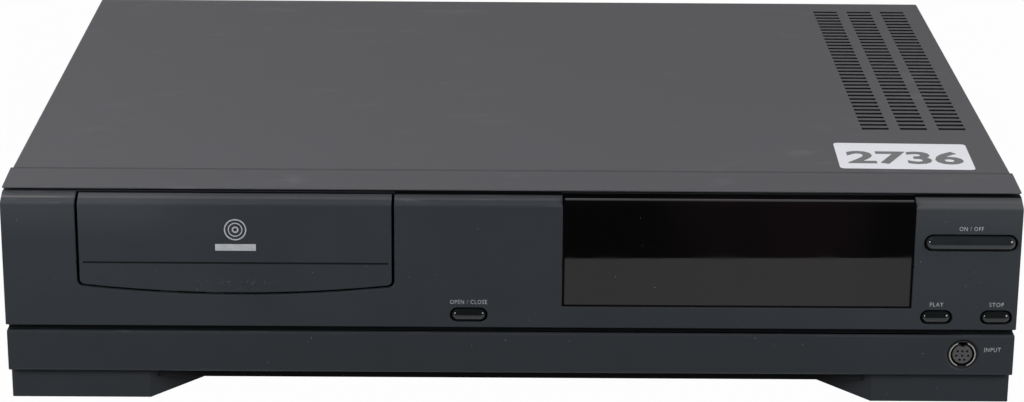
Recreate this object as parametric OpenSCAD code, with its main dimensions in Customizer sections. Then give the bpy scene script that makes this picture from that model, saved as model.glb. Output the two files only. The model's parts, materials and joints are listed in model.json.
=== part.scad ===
// Disc player with a motor-driven tray, as it comes apart on a bench.
// Millimetres. The floor is z = 0, the front faces -Y and the tray is on the left.
// Inside the modules y = 0 is the front face; placed() moves it so that the box is centred.

/* [Case] */
// Width of the moulded front
case_w = 421; // [412:1:440]
// Height from the floor to the top of the cover
case_h = 92.2; // [90:0.1:105]
// Depth from the front face to the rear edge of the cover
case_d = 318; // [305:1:340]
// Height of the base pan above the floor
foot_h = 8.4; // [7.5:0.1:10]
// Thickness of the steel sheet
sheet_t = 1; // [0.8:0.1:1.3]
// Distance of each cover side inside the front
cover_inset = 0.1; // [0.1:0.1:1.2]
// Outer bend radius of the cover
cover_r = 1.3; // [1.2:0.1:3]
// Distance of the rear panel inside the rear edge of the cover
rear_recess = 2; // [1:0.5:4]
// Clearance between fixed pieces that fit together
fit_gap = 0.3; // [0.2:0.05:0.4]
// Clearance between pieces that move past each other
run_gap = 0.4; // [0.3:0.05:0.5]
// Radial clearance of a wheel on its pin or a shaft in its bearing
bearing_gap = 0.05; // [0.03:0.01:0.08]

/* [Vents] */
// Length of one vent slot
vent_l = 12; // [8:0.5:14]
// Width of one vent slot
vent_w = 3.1; // [1.5:0.1:3.4]
// Distance between slots along a column
vent_pitch = 5.84; // [5:0.02:6.2]
// Slots in a column
vent_rows = 36; // [20:1:36]
// Columns of slots
vent_columns = 3; // [1:1:3]
// Distance between columns
vent_column_pitch = 17; // [15:0.5:20]
// Distance of the last column from the side of the case
vent_side = 15.5; // [12:0.5:20]
// Distance of the last slot from the rear edge
vent_rear = 17; // [12:0.5:25]

/* [Front moulding] */
// Depth of the moulded front, back to the cover
front_d = 33; // [30:0.5:38]
// Thickness of the moulded front wall
wall = 2.5; // [2.2:0.1:3]
// Thickness of the moulded top and bottom walls
shelf_t = 2; // [1.6:0.1:2.4]
// Depth of the chamfer along the top edge
chamfer_d = 6.9; // [5:0.1:7.5]
// Height of the chamfer along the top edge
chamfer_h = 2.9; // [1.5:0.1:4]
// Radius of the edge between that chamfer and the front face
crease_r = 1.2; // [0.4:0.1:2]
// Height of the lower trim above the underside of the base pan
band_lift = 5.1; // [4.8:0.1:7]
// Height of the lower trim
band_h = 17.9; // [16.5:0.1:20]
// Bevel along the edges of the lower trim
band_bevel = 0.7; // [0.3:0.1:1.2]
// Distance of the lower trim's ends inside the panel's
band_inset = 0.3; // [0:0.1:0.6]
// Height of the groove between the panel and the lower trim
groove_h = 2.5; // [1.8:0.1:3]
// Depth of that groove
groove_d = 3; // [2:0.1:4]
// Depth of that groove at the sides
groove_side = 0.8; // [0.4:0.1:1]
// Thickness of the top trim
trim_t = 2; // [1.6:0.1:2.5]
// Height of the dark gap under the lip of the top trim
trim_gap = 1.3; // [0.4:0.1:1.4]
// Length of that lip
trim_lip = 5; // [4:0.5:8]
// Distance that the rear corners of the top trim stand out beyond the panel
trim_side = 0.5; // [0:0.1:1]
// Taper at each end of the top trim
trim_taper = 0.6; // [0:0.1:2]

/* [Tray front] */
// Width of the tray front
flap_w = 129; // [126.5:0.1:131]
// Distance of the tray front from the left side of the case
flap_side = 31.7; // [28:0.1:36]
// Height of its lowest point above the lower edge of the panel
flap_lift = 14.9; // [14:0.1:17]
// Rise of its curved lower edge towards the corners
flap_sag = 3.6; // [1:0.1:5]
// Radius of its lower corners
flap_corner_r = 2; // [1:0.1:3]
// Gap round it
flap_gap = 1.2; // [0.6:0.1:1.6]
// Depth of the tray front
flap_d = 8; // [7.6:0.1:9]
// Height of its fine line above its lowest point
flap_line_lift = 12.9; // [8:0.1:20]
// Width of the fine line
flap_line_w = 0.7; // [0.4:0.1:1]
// Depth of the fine line
flap_line_d = 0.4; // [0.2:0.1:0.8]
// Distance of the fine line from the sides of the tray front
flap_line_end = 1.5; // [0.5:0.1:5]

/* [Window and display] */
// Distance of the window's left edge from the middle of the open key
window_from_key = 39; // [36:0.1:60]
// Distance of the window from the right side of the case
window_side = 44.6; // [42:0.1:50]
// Height of the window above the lower edge of the panel
window_lift = 9.7; // [8:0.1:12]
// Gap round the window
window_gap = 0.4; // [0.2:0.1:0.8]
// Recess of the window face
window_recess = 0.2; // [0:0.1:0.6]
// Radius of the rounded top edge of the window
window_r = 2.8; // [2.6:0.1:6]
// Depth of the window where it turns over the top
window_d = 9.5; // [8.5:0.1:10]
// Border of the holder round the window
holder_border = 4; // [2:0.5:5]
// Thickness of the holder
holder_t = 2; // [1.5:0.1:3]
// Distance of the display tube's ends from the window's ends
tube_side = 16; // [12:0.5:24]
// Height of the display tube
tube_h = 26; // [18:1:30]
// Thickness of the display tube
tube_t = 7; // [5:0.5:9]

/* [Keys] */
// Width of the power key
power_w = 37.2; // [30:0.1:37.4]
// Height of the power key
power_h = 5.9; // [5:0.1:6.6]
// How far the power key stands proud
power_proud = 2.2; // [1:0.1:4]
// Distance of the power key's centre below the chamfer of the panel
power_drop = 15.1; // [13:0.1:20]
// Distance of the power key's centre from the right side of the case
power_side = 21; // [21:0.1:24]
// Travel of the power key
power_travel = 4; // [2:0.1:5]
// Width of the play and stop keys
key_w = 11.9; // [9:0.1:14]
// Width of the open key
open_w = 14.2; // [12:0.1:18]
// Height of the three small keys
key_h = 5; // [4.6:0.1:6]
// How far the small keys stand proud
key_proud = 1.1; // [0.9:0.1:2]
// Travel of the small keys
key_travel = 0.6; // [0.3:0.1:0.8]
// Height of the small keys above the lower edge of the panel
key_lift = 5.5; // [5.4:0.1:7]
// Distance of the stop key's centre from the right side of the case
stop_side = 8.7; // [8.7:0.1:9.5]
// Distance between the play and stop keys
key_pitch = 25; // [20:0.1:28]
// Distance of the open key's centre from the tray front
open_side = 32; // [26:0.1:36]
// Clearance round a key in its hole
key_gap = 0.7; // [0.4:0.05:0.8]
// Height of the crowned face of the power key
power_crown = 2.4; // [2:0.1:2.5]
// Height of the crowned face of a small key
key_crown = 1.8; // [1.4:0.1:2.2]
// Height of the flange that holds a key behind the panel
flange_w = 1.2; // [1.1:0.1:1.6]
// Thickness of that flange
flange_t = 1; // [0.8:0.1:1.5]

/* [Boards] */
// Thickness of a circuit board
board_t = 1.6; // [1:0.1:2]
// Distance of the control board behind the front face
control_y = 18; // [17:0.5:20]
// Radius of a boss that carries a board
boss_r = 3; // [2.5:0.1:3.5]
// Height of the large boards above the base pan
board_lift = 6.5; // [5:0.5:10]
// Distance of the mains switch behind the front face
switch_y = 62; // [56:1:80]
// Height of the power link's lower arm above the power board
link_lift = 9; // [7:0.5:12]

/* [Sockets] */
// Distance of the input socket's centre from the right side of the case
input_side = 21.7; // [19:0.1:30]
// Height of the input socket's centre above the lower edge of the lower trim
input_lift = 9.3; // [8.8:0.1:10]
// Outer radius of a round socket's metal ring
din_ring_r = 5.5; // [5:0.1:5.8]
// Thickness of that ring
din_ring_t = 0.45; // [0.3:0.05:0.6]
// Radius of a round socket's nose
din_nose_r = 6; // [5.9:0.1:6.4]
// Radius of a round socket's insulator
din_core_r = 4.1; // [3.9:0.1:4.4]
// Depth of a round socket
din_d = 12; // [10:0.5:14]
// Outer radius of a phono barrel
phono_r = 4.15; // [4:0.05:4.3]
// Reach of a phono barrel behind the rear panel
phono_reach = 9; // [8:0.5:11]
// Distance between phono barrels
phono_pitch = 14; // [12:0.5:18]

/* [Feet] */
// Length of a front foot along the floor
foot_w = 58.1; // [45:0.1:65]
// Extra length of a front foot at its back
foot_slant_w = 25.5; // [15:0.1:28]
// Distance of a front foot inside the side of the case
foot_inset = 0.9; // [0.5:0.1:2]
// Distance of a front foot behind the front face
foot_setback = 3.7; // [3:0.1:4.5]
// Depth of a front foot
foot_d = 30; // [24:1:40]
// Radius of a rear foot
rear_foot_r = 18; // [15:0.5:22]
// How far the rubber pads stand out
pad_proud = 0.2; // [0.2:0.1:1]
// Depth of the recess that holds a pad
pad_seat = 1; // [0.6:0.1:2]

/* [Tray] */
// Diameter of the disc that the tray takes
disc_d = 120; // [118:0.5:121]
// Diameter of the small disc that the tray takes
small_disc_d = 80; // [76:0.5:84]
// Clearance round a disc in its recess
disc_gap = 0.6; // [0.4:0.1:0.8]
// Distance of the disc's centre behind the front face
disc_y = 78; // [76:0.5:82]
// Height of the disc's seat above the lowest point of the tray front
seat_lift = 11.9; // [11:0.1:13]
// Thickness of the tray floor
tray_floor_t = 2.5; // [2:0.1:3]
// Step down from the large recess to the small one
small_step = 0.9; // [0.6:0.1:1.2]
// Height of the tray rim above the disc's seat
tray_rim_h = 3.5; // [2.5:0.1:4]
// Length of the tray behind the disc's centre
tray_tail = 110; // [100:1:116]
// Width of the tray's side rails
rail_w = 1.8; // [1.4:0.1:2.2]
// Half width of the slot that the drive comes up through
slot_half = 20; // [19.5:0.1:21]
// Travel of the tray
tray_travel = 130; // [110:1:132]

/* [Loading gears] */
// Tooth size of the tray rack
rack_module = 1; // [0.8:0.1:1.2]
// Teeth of the pinion on the rack
pinion_teeth = 14; // [12:1:16]
// Tooth size of the reduction gears
wheel_module = 0.8; // [0.7:0.05:0.9]
// Teeth of the large loading wheel
wheel_teeth = 36; // [30:2:38]
// Teeth of the pulley's pinion
pulley_teeth = 12; // [12:1:16]
// Height of the rack
rack_h = 5; // [4:0.1:6]
// Thickness of the large loading wheel
wheel_t = 4; // [3:0.1:5]
// Thickness of the pulleys
pulley_t = 4; // [3.6:0.1:5]
// Radius of the large pulley at the belt
pulley_r = 10; // [8:0.1:11]
// Radius of the motor pulley at the belt
motor_pulley_r = 4; // [3.5:0.1:5]
// Distance between the pulleys
pulley_pitch = 37.7; // [34:0.1:40]
// Width of the square belt
belt_w = 1.6; // [1.2:0.1:2]
// Radius of the pins that the loading wheels turn on
gear_pin_r = 2; // [1.5:0.1:2.2]
// Distance of the loading gears behind the front of the loader frame
gear_setback = 16; // [15.5:0.1:20]
// Distance of the rack's pitch line from the disc's centre
rack_offset = 38; // [36:0.1:39]

/* [Drive] */
// Height that the drive lifts
lift_h = 8; // [6:0.5:8.5]
// Travel of the lift cam
cam_travel = 16; // [14:0.5:18]
// Thickness of the lift cam
cam_t = 3; // [2:0.1:4]
// Radius of the pins that ride in the cam
lift_pin_r = 1.5; // [1.2:0.1:1.8]
// Thickness of the drive chassis
chassis_t = 3; // [2.5:0.1:4]
// Half width of the drive chassis
chassis_half = 44; // [42:0.5:46]
// Height of the disc above the tray when it plays
disc_rise = 2.5; // [2:0.1:3]
// Radius of the turntable
turntable_r = 15.5; // [14:0.1:16.5]
// Radius of the hub that centres a disc
hub_r = 7.3; // [7:0.1:7.45]
// Height of the hub above the turntable
hub_h = 2.5; // [1.5:0.1:2.8]
// Travel of the pickup
pickup_travel = 34; // [30:0.5:35]
// Distance of the lens from the turntable's centre at rest
lens_radius = 25; // [24:0.1:27]
// Half width of the pickup sled
sled_half = 18; // [17.5:0.1:18.4]
// Length of the pickup sled
sled_l = 32; // [28:0.5:33]
// Radius of the guide rods
rod_r = 1.5; // [1.2:0.1:1.8]
// Half distance between the guide rods
rod_half = 14.5; // [13.5:0.1:14.8]
// Tooth size of the pickup gears
sled_module = 0.5; // [0.45:0.05:0.55]
// Teeth of the pinion on the sled's rack
sled_pinion_teeth = 16; // [14:1:18]
// Teeth of the pickup's large wheel
sled_wheel_teeth = 36; // [30:2:36]
// Teeth of the pickup motor's pinion
sled_motor_teeth = 12; // [12:1:14]

/* [Hidden] */
$fn = 64;
EPS = 0.01;
PRESSURE_ANGLE = 25;
ADDENDUM = 0.8;
DEDENDUM = 1.05;
TOOTH_SLACK = 0.18;
SMALL_TOOTH_SLACK = 0.12;
MESH_GAP = 0.1;
SHARP_R = 0.3;
CUT = 1;
ARC_STEPS = 20;

// Case
half_w = case_w / 2;
cover_half = half_w - cover_inset;
side_in = cover_half - sheet_t - fit_gap;
rear_y = case_d - rear_recess;
rear_in = rear_y - sheet_t;
foot_lip_t = 3.5;
pan_y = foot_setback + foot_lip_t + fit_gap;
pan_top = foot_h + sheet_t;
cover_lift = 3;
cover_z0 = foot_h + cover_lift;
screw_r = 1.5;
screw_head_r = 2.9;
screw_head_t = 1.2;
screw_head_slope = 0.8;
screw_slot_l = 3.2;
screw_slot_w = 0.8;
screw_slot_d = 0.7;
screw_l = 5;
screw_front = 32;
screw_rear = 40;
screw_ys = [front_d + screw_front, case_d - screw_rear];
pan_slots = 14;
pan_slot_pitch = 8;
pan_slot_w = 3;
pan_slot_l = 50;
pan_slot_x = -30;
pan_slot_ys = [90, 160];

// Heights of the front
band_z0 = foot_h + band_lift;
band_z1 = band_z0 + band_h;
panel_z0 = band_z1 + groove_h;
top_z = case_h - trim_t;
crease_z = top_z - chamfer_h;
pan_wall_z = band_z1 - shelf_t - fit_gap;
screw_z = (pan_top + pan_wall_z) / 2;
pan_lip_z = band_z0 - fit_gap;

// Feet
rear_foot_side = 36;
rear_foot_rear = 42;
rear_foot_draft = 2;
rear_foot_x = half_w - rear_foot_side;
rear_foot_y = case_d - rear_foot_rear;
pad_margin = 8;
rear_pad_in = 6;
rear_pad_r = rear_foot_r - rear_pad_in;

// Transformer
core_w = 50;
core_h = 42;
core_t = 36;
limb_w = 16;
core_window = 9;
coil_over = 8;
transformer_rear = 75;

// Tray front
tray_x = -half_w + flap_side + flap_w / 2;
flap_z0 = panel_z0 + flap_lift;
flap_arc_r = (pow(flap_w / 2, 2) + pow(flap_sag, 2)) / (2 * flap_sag);

// Window and display
open_x = tray_x + flap_w / 2 + open_side;
window_x0 = open_x + window_from_key;
window_x1 = half_w - window_side;
window_z0 = panel_z0 + window_lift;
window_z1 = top_z - fit_gap;
holder_y = [wall, wall + holder_t];
tube_x = [window_x0 + tube_side, window_x1 - tube_side];
tube_z = (window_z0 + crease_z) / 2;

// Keys
power_x = half_w - power_side;
power_z = crease_z - power_drop;
key_z = panel_z0 + key_lift;
stop_x = half_w - stop_side;
play_x = stop_x - key_pitch;
flange_y = wall + fit_gap;
key_back = flange_y + flange_t;
switch_body = 6;
switch_body_t = 3.5;
plunger_r = 1.7;
plunger_l = 1;
switch_tip_y = control_y - switch_body_t - plunger_l;
key_tip_y = switch_tip_y - key_travel - fit_gap;
stem_r = 1.4;

// Boards
board_edge = 1;
boss_clear = 4;
boss_inset = boss_r + 2;
control_x = [open_x - open_w / 2 - board_edge, side_in - 2 * board_edge];
control_z = [panel_z0 + shelf_t + board_edge, crease_z - shelf_t - 2 * board_edge];
boss_left_x = window_x0 - holder_border - boss_r - boss_clear;
boss_right_x = (window_x1 + holder_border + power_x) / 2;
boss_high_z = power_z + power_h / 2 + flange_w + run_gap + boss_r;
boss_low_z = key_z + key_h + boss_r + boss_clear;
board_z = [pan_top + board_lift, pan_top + board_lift + board_t];
pan_clear = 3;
power_board_w = 53;
power_board_x1 = side_in - sheet_t - pan_clear;
power_board_x = [power_board_x1 - power_board_w, power_board_x1];
power_board_front = 52;
power_board_rear = 14;
power_board_y = [power_board_front, rear_in - power_board_rear];
main_board_front = 40;
main_board_y = [main_board_front, rear_in - board_edge];
board_space = 5;
link_w = 5;
link_h = 4;
link_clear = 1.5;
link_z = board_z[1] + link_lift;
crank_y = 42;
crank_w = 6;
plunger_w = 4;
plunger_out = 7;
plunger_in = 6;
switch_w = 16;
switch_h = 17;
switch_l = 24;

// Sockets
input_x = half_w - input_side;
input_z = band_z0 + input_lift;
din_face_y = 0.8;
din_bevel = 0.7;
din_notch_w = 2;
din_notch_h = 0.8;
din_block_w = 14;
din_block_h = 13;
input_board_z = [input_z - din_block_h / 2 - board_t, input_z - din_block_h / 2];
din_pins = [[-2, 1.3], [0, 1.3], [2, 1.3], [-2.5, -0.7], [0, -0.7], [2.5, -0.7], [-1, -2.5], [1, -2.5]];
din_pin_r = 0.5;
din_nose_l = 3;
din_groove_d = 7;
din_pin_d = 5;
input_boss_xs = [input_x - din_block_w / 2 - 2 * boss_r, input_x + din_block_w / 2 + 2 * boss_r];
input_boss_in = 12;
input_boss_y = pan_y + input_boss_in;
input_board_y = [din_face_y + din_nose_l + board_edge, input_boss_y + boss_r + board_edge];
video_pins = [[-1.7, 1.6], [1.7, 1.6], [-2.4, -1], [2.4, -1]];
rear_socket_lift = 8;
rear_socket_z = board_z[1] + rear_socket_lift;
phono_block_d = 10;
phono_block_h = 14;
phono_wall = 0.7;
phono_core_short = 2;
phono_pin_d = 6;
phono_bore_r = phono_r - phono_wall;
phono_core_r = phono_bore_r - fit_gap;
phono_pin_r = 1.6;
multi_w = 47;
multi_h = 13;
multi_d = 15;
multi_reach = 3;
multi_cut = 6;
multi_slots = 10;
multi_slot_pitch = 3.8;
multi_slot = [1, 8, 3.4];
multi_row_z = 3;
video_proud = 0.5;
inlet_shift = 11;
inlet_x = power_x - inlet_shift;
inlet_w = 22;
inlet_h = 16;
inlet_d = 18;
inlet_reach = 1.5;
inlet_z = board_z[1] + inlet_h / 2;
inlet_cup_w = 15.4;
inlet_cup_h = 8.2;
inlet_cup_d = 12;
inlet_pin_r = 1.2;
inlet_pin_half = 4.3;
inlet_pin_l = 9;
hatch_x = tray_x;
hatch_w = 92;
hatch_h = 30;
hatch_lift = 14;
hatch_z = board_z[1] + hatch_lift;
hatch_t = 1.2;
hatch_lap = 3;
rear_reach = rear_y + phono_reach;

// Tray
seat_z = flap_z0 + seat_lift;
tray_under = seat_z - tray_floor_t;
tray_rim_z = seat_z + tray_rim_h;
tray_half = flap_w / 2 - rail_w;
tongue_half = flap_w / 2 - wall - fit_gap;
tray_y0 = flap_d + fit_gap;
tray_y1 = disc_y + tray_tail;
tail_h = 1.5;
tray_back_wall = 4;
tail_z = seat_z + tail_h;
rack_z0 = tray_under - rack_h;

// Loader frame
frame_front = 4;
frame_rear = 12;
frame_wall = 2.6;
loader_gap = 1;
frame_y0 = flap_d + frame_front;
frame_y1 = tray_y1 + frame_rear;
groove_half = flap_w / 2 + run_gap;
frame_half = groove_half + frame_wall;
frame_in = tray_half + run_gap;
bridge_lift = 8;
bridge_z = seat_z + bridge_lift;
bridge_t = 1.2;
bridge_half_l = 18;
leg_r = 4.5;
leg_x = frame_in - leg_r;

// Loading gears
gear_y = frame_y0 + gear_setback;
pinion_r = rack_module * pinion_teeth / 2;
wheel_r = wheel_module * wheel_teeth / 2;
pulley_pinion_r = wheel_module * pulley_teeth / 2;
tray_gear_x = tray_x - rack_offset + pinion_r + MESH_GAP;
pulley_x = tray_gear_x + wheel_r + pulley_pinion_r + MESH_GAP;
motor_x = pulley_x + pulley_pitch;
wheel_z = [rack_z0 - run_gap - wheel_t, rack_z0 - run_gap];
pinion_z1 = tray_under - run_gap;
pulley_gap = 1;
pulley_z = [wheel_z[0] - pulley_gap - pulley_t, wheel_z[0] - pulley_gap];
belt_z = (pulley_z[0] + pulley_z[1]) / 2;
pulley_lip = 1.2;
gear_hub_wall = 2;
gear_hub_r = gear_pin_r + gear_hub_wall;
pin_short = 1;
rack_back = 3;
rack_margin = 6;
motor_shaft_r = 1;
shaft_clear = 3;
load_motor_r = 11;
load_motor_h = 20;
bearing_l = 14;

main_board_x = [tray_x + frame_half + board_space, power_board_x[0] - board_space];
video_in = 10;
video_x = main_board_x[0] + video_in;
multi_in = 50;
multi_x = main_board_x[0] + multi_in;
phono_in = 105;
phono_x = main_board_x[0] + phono_in;
chip_pitch = 4;

// Drive
chassis_gap = 1;
chassis_z1 = rack_z0 - lift_h - chassis_gap;
chassis_z0 = chassis_z1 - chassis_t;
lift_pin_z = chassis_z0 + chassis_t / 2;
cam_slot_r = lift_pin_r + fit_gap;
cam_edge = 2.2;
cam_z0 = lift_pin_z - cam_slot_r - cam_edge;
cam_z1 = lift_pin_z + lift_h + cam_slot_r + cam_edge;
deck_z1 = cam_z0 - fit_gap;
deck_t = 2.5;
deck_z0 = deck_z1 - deck_t;
cam_clear = 2;
cam_y0 = gear_y + wheel_r + ADDENDUM * wheel_module + cam_clear;
cam_y1 = cam_y0 + cam_t;
cam_rib_t = 1;
cam_rib_h = 1.6;
drive_clear = 1.2;
drive_y0 = cam_y1 + run_gap + cam_rib_t + drive_clear;
cam_pin_pitch = 32;
cam_pins = [tray_x, tray_x + cam_pin_pitch];
cam_x = [cam_pins[0] - cam_travel - cam_slot_r - cam_edge, cam_pins[1] + cam_slot_r + cam_edge];
turntable_z1 = seat_z + disc_rise - lift_h;
turntable_t = 2;
turntable_boss_r = 4;
hub_bevel = 1;
spindle_r = 1;
spindle_motor_r = 12.5;
spindle_motor_h = 14;
motor_floor = 2;
shaft_end = 3;
sled_clear = 1.5;
sled_float = 0.5;
sled_stop = 0.7;
sled_y0 = disc_y + turntable_r + sled_clear;
sled_y1 = sled_y0 + sled_l;
sled_z = [chassis_z1 + sled_float, turntable_z1 - sled_clear];
lens_y = disc_y + lens_radius;
lens_r = 3.5;
lens_h = 1.2;
rod_lift = 5.5;
rod_z = chassis_z1 + rod_lift;
rod_post_w = 6;
rod_post_t = 3;
rod_post_ys = [sled_y0 - sled_stop - rod_post_t, sled_y1 + pickup_travel + sled_clear];
chassis_edge = 4;
drive_y1 = rod_post_ys[1] + rod_post_t + chassis_edge;
guide_out = 5;
guide_in = 11;
guide_over = 2;
guide_x = chassis_half + guide_out;
guide_ys = [drive_y0 + guide_in, drive_y1 - guide_in];
guide_r = 2.4;
ear_r = 7.5;
bush_r = 4.5;
bush_flange_r = 6;
bush_flange_t = 1;
bush_slack = 0.35;
bush_bore_r = guide_r + bush_slack;
lug_z1 = chassis_z0 - bush_flange_t - fit_gap;
sled_rack_out = 6;
sled_gear_t = 1.8;
sled_rack_strip = 1.5;
sled_rack_margin = 4;
sled_rack_x = tray_x + sled_half + sled_rack_out;
sled_rack_z = [sled_z[0], sled_z[0] + sled_gear_t];
sled_pinion_r = sled_module * sled_pinion_teeth / 2;
sled_wheel_r = sled_module * sled_wheel_teeth / 2;
sled_motor_pinion_r = sled_module * sled_motor_teeth / 2;
sled_gear_x = sled_rack_x + sled_pinion_r + MESH_GAP / 2;
sled_gear_y = sled_y1 + sled_rack_margin;
sled_wheel_z = [sled_rack_z[1] + run_gap, sled_rack_z[1] + run_gap + sled_gear_t];
sled_motor_y = sled_gear_y - sled_wheel_r - sled_motor_pinion_r - MESH_GAP / 2;
sled_motor_r = 8;
sled_motor_h = 12;
sled_pin_r = 1;
sled_shaft_r = 0.75;
sled_shaft_clear = 2;
clamp_r = 16.2;
clamp_neck_r = 13.2;
clamp_slack = 0.7;
clamp_lift = 1.3;
clamp_flange_t = 1.5;
clamp_hole_r = clamp_neck_r + clamp_slack;
clamp_z0 = tray_rim_z + clamp_lift;

// Moves the front-face frame to the centred frame of the part
module placed() {
    translate([0, (power_proud - rear_reach) / 2, 0]) children();
}

// Box between two limits on each axis
module span(x, y, z) {
    translate([x[0], y[0], z[0]]) cube([x[1] - x[0], y[1] - y[0], z[1] - z[0]]);
}

// Outline in x and z, carried along y
module through(y) {
    translate([0, y[1], 0]) rotate([90, 0, 0]) linear_extrude(y[1] - y[0]) children();
}

// Profile in y and z, carried along x
module across(x) {
    translate([x[0], 0, 0]) rotate([90, 0, 90]) linear_extrude(x[1] - x[0]) children();
}

// Plan in x and y, carried up
module upright(z) {
    translate([0, 0, z[0]]) linear_extrude(z[1] - z[0]) children();
}

// Upright cylinder
module post(x, y, z, r) {
    translate([x, y, z[0]]) cylinder(h = z[1] - z[0], r = r);
}

// Cylinder along y
module rod(x, z, y, r) {
    translate([x, y[1], z]) rotate([90, 0, 0]) cylinder(h = y[1] - y[0], r = r);
}

module capsule(w, h) {
    square([w - h, h], center = true);
    for (side = [-1, 1])
        translate([side * (w - h) / 2, 0]) circle(d = h);
}

module rectangle(x, y) {
    translate([x[0], y[0]]) square([x[1] - x[0], y[1] - y[0]]);
}

// Points on circles, and involute gears
function involute(angle) = tan(angle) * 180 / PI - angle;
function flank_angle(r, pitch_r, teeth, slack) =
    90 / teeth - slack * 90 / (PI * pitch_r) + involute(PRESSURE_ANGLE)
    - involute(acos(min(1, pitch_r * cos(PRESSURE_ANGLE) / r)));
function polar(r, angle) = [r * cos(angle), r * sin(angle)];
function arc(centre, r, start, end) =
    [for (i = [0:ARC_STEPS]) centre + polar(r, start + (end - start) * i / ARC_STEPS)];

module gear_outline(size, teeth, slack, facing) {
    pitch_r = size * teeth / 2;
    root_r = pitch_r - DEDENDUM * size;
    tip_r = pitch_r + ADDENDUM * size;
    base_r = max(root_r, pitch_r * cos(PRESSURE_ANGLE));
    steps = 3;
    radii = [for (i = [0:steps]) base_r + (tip_r - base_r) * i / steps];
    foot = base_r > root_r ? [root_r] : [];
    rising = concat(foot, radii);
    polygon([
        for (tooth = [0:teeth - 1])
            let (middle = facing + tooth * 360 / teeth)
            for (i = [0:2 * len(rising) - 1])
                let (up = i < len(rising))
                let (r = up ? rising[i] : rising[2 * len(rising) - 1 - i])
                let (half = flank_angle(max(r, base_r), pitch_r, teeth, slack))
                polar(r, middle + (up ? -half : half))
    ]);
}

// Rack along y with teeth towards +x; a tooth space is centred on space_y
module rack_outline(size, slack, y, space_y, back) {
    pitch = PI * size;
    half = (pitch / 2 - slack) / 2;
    lean = tan(PRESSURE_ANGLE);
    first = ceil((y[0] - space_y) / pitch);
    last = floor((y[1] - space_y) / pitch) - 1;
    teeth = [for (i = [first:last]) space_y + (i + 0.5) * pitch];
    tip = ADDENDUM * size;
    root = -DEDENDUM * size;
    polygon(concat(
        [[root - back, y[1]], [root - back, y[0]], [root, y[0]]],
        [for (middle = teeth)
            for (p = [[root, -half + root * lean], [tip, -half + tip * lean],
                      [tip, half - tip * lean], [root, half - root * lean]])
                [p[0], middle + p[1]]],
        [[root, y[1]]]
    ));
}

// Outline of the tray front, grown by a gap, up to a height
module flap_outline(gap, top) {
    half = flap_w / 2 + gap;
    arc_r = flap_arc_r + gap;
    corner_r = max(SHARP_R, flap_corner_r + gap);
    arc_z = flap_z0 + flap_arc_r;
    corner_x = half - corner_r;
    corner_z = arc_z - sqrt(pow(arc_r - corner_r, 2) - pow(corner_x, 2));
    touch_x = corner_x * arc_r / (arc_r - corner_r);
    translate([tray_x, 0]) {
        rectangle([-half, half], [corner_z, top]);
        for (side = [-1, 1])
            translate([side * corner_x, corner_z]) circle(corner_r);
        intersection() {
            rectangle([-touch_x, touch_x], [flap_z0 - gap - CUT, top]);
            translate([0, arc_z]) circle(arc_r, $fn = 1440);
        }
    }
}

// Side view of the front: flat face, chamfer, then the top that runs back; inset by a wall
module front_profile(inset, top_inset, bottom, depth) {
    slope = atan2(chamfer_h, chamfer_d);
    corner_z = crease_z + inset * tan(slope) - top_inset;
    corner_r = max(SHARP_R, crease_r - inset);
    tangent = corner_r * tan((90 - slope) / 2);
    polygon(concat(
        [[inset, bottom]],
        arc([inset + corner_r, corner_z - tangent], corner_r, 180, 90 + slope),
        [[chamfer_d, top_z - top_inset], [depth, top_z - top_inset], [depth, bottom]]
    ));
}

// Pan of the case, with bosses for the boards
module base_pan() {
    color("dimgray") difference() {
        union() {
            span([-side_in, side_in], [pan_y, rear_in], [foot_h, pan_top]);
            span([-side_in, side_in], [pan_y, pan_y + sheet_t], [foot_h, pan_lip_z]);
            for (side = [-1, 1])
                mirror([side < 0 ? 1 : 0, 0, 0])
                    span([side_in - sheet_t, side_in], [pan_y, rear_in], [foot_h, pan_wall_z]);
            board_bosses();
        }
        for (y = screw_ys)
            translate([0, y, screw_z]) rotate([0, 90, 0])
                cylinder(h = case_w, r = screw_r + bearing_gap, center = true);
        pan_vents();
    }
}

module board_bosses() {
    for (x = [power_board_x[0] + boss_inset, power_board_x[1] - boss_inset])
        for (y = [power_board_y[0] + boss_inset, power_board_y[1] - boss_inset])
            post(x, y, [pan_top - EPS, board_z[0]], boss_r);
    for (x = [main_board_x[0] + boss_inset, main_board_x[1] - boss_inset])
        for (y = [main_board_y[0] + boss_inset, main_board_y[1] - boss_inset])
            post(x, y, [pan_top - EPS, board_z[0]], boss_r);
    for (x = input_boss_xs)
        post(x, input_boss_y, [pan_top - EPS, input_board_z[0]], boss_r);
}

module pan_vents() {
    for (i = [0:pan_slots - 1])
        for (y = pan_slot_ys)
            translate([pan_slot_x + i * pan_slot_pitch, y, foot_h - CUT])
                cube([pan_slot_w, pan_slot_l, sheet_t + 2 * CUT]);
}

// Back of the case, pierced for its sockets
module rear_panel() {
    color("dimgray") difference() {
        span([-side_in, side_in], [rear_in, rear_y],
             [foot_h, case_h - sheet_t - fit_gap]);
        rear_cut() {
            for (i = [-1, 0, 1])
                translate([phono_x + i * phono_pitch, rear_socket_z]) circle(phono_bore_r);
            translate([multi_x, rear_socket_z]) multiway_outline(fit_gap);
            translate([video_x, rear_socket_z]) circle(din_nose_r + fit_gap);
            translate([inlet_x, inlet_z])
                square([inlet_w + 2 * fit_gap, inlet_h + 2 * fit_gap], center = true);
            translate([hatch_x, hatch_z + hatch_h / 2])
                square([hatch_w - 2 * hatch_lap, hatch_h - 2 * hatch_lap], center = true);
        }
    }
}

module rear_cut() {
    through([rear_in - CUT, rear_y + CUT]) children();
}

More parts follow.
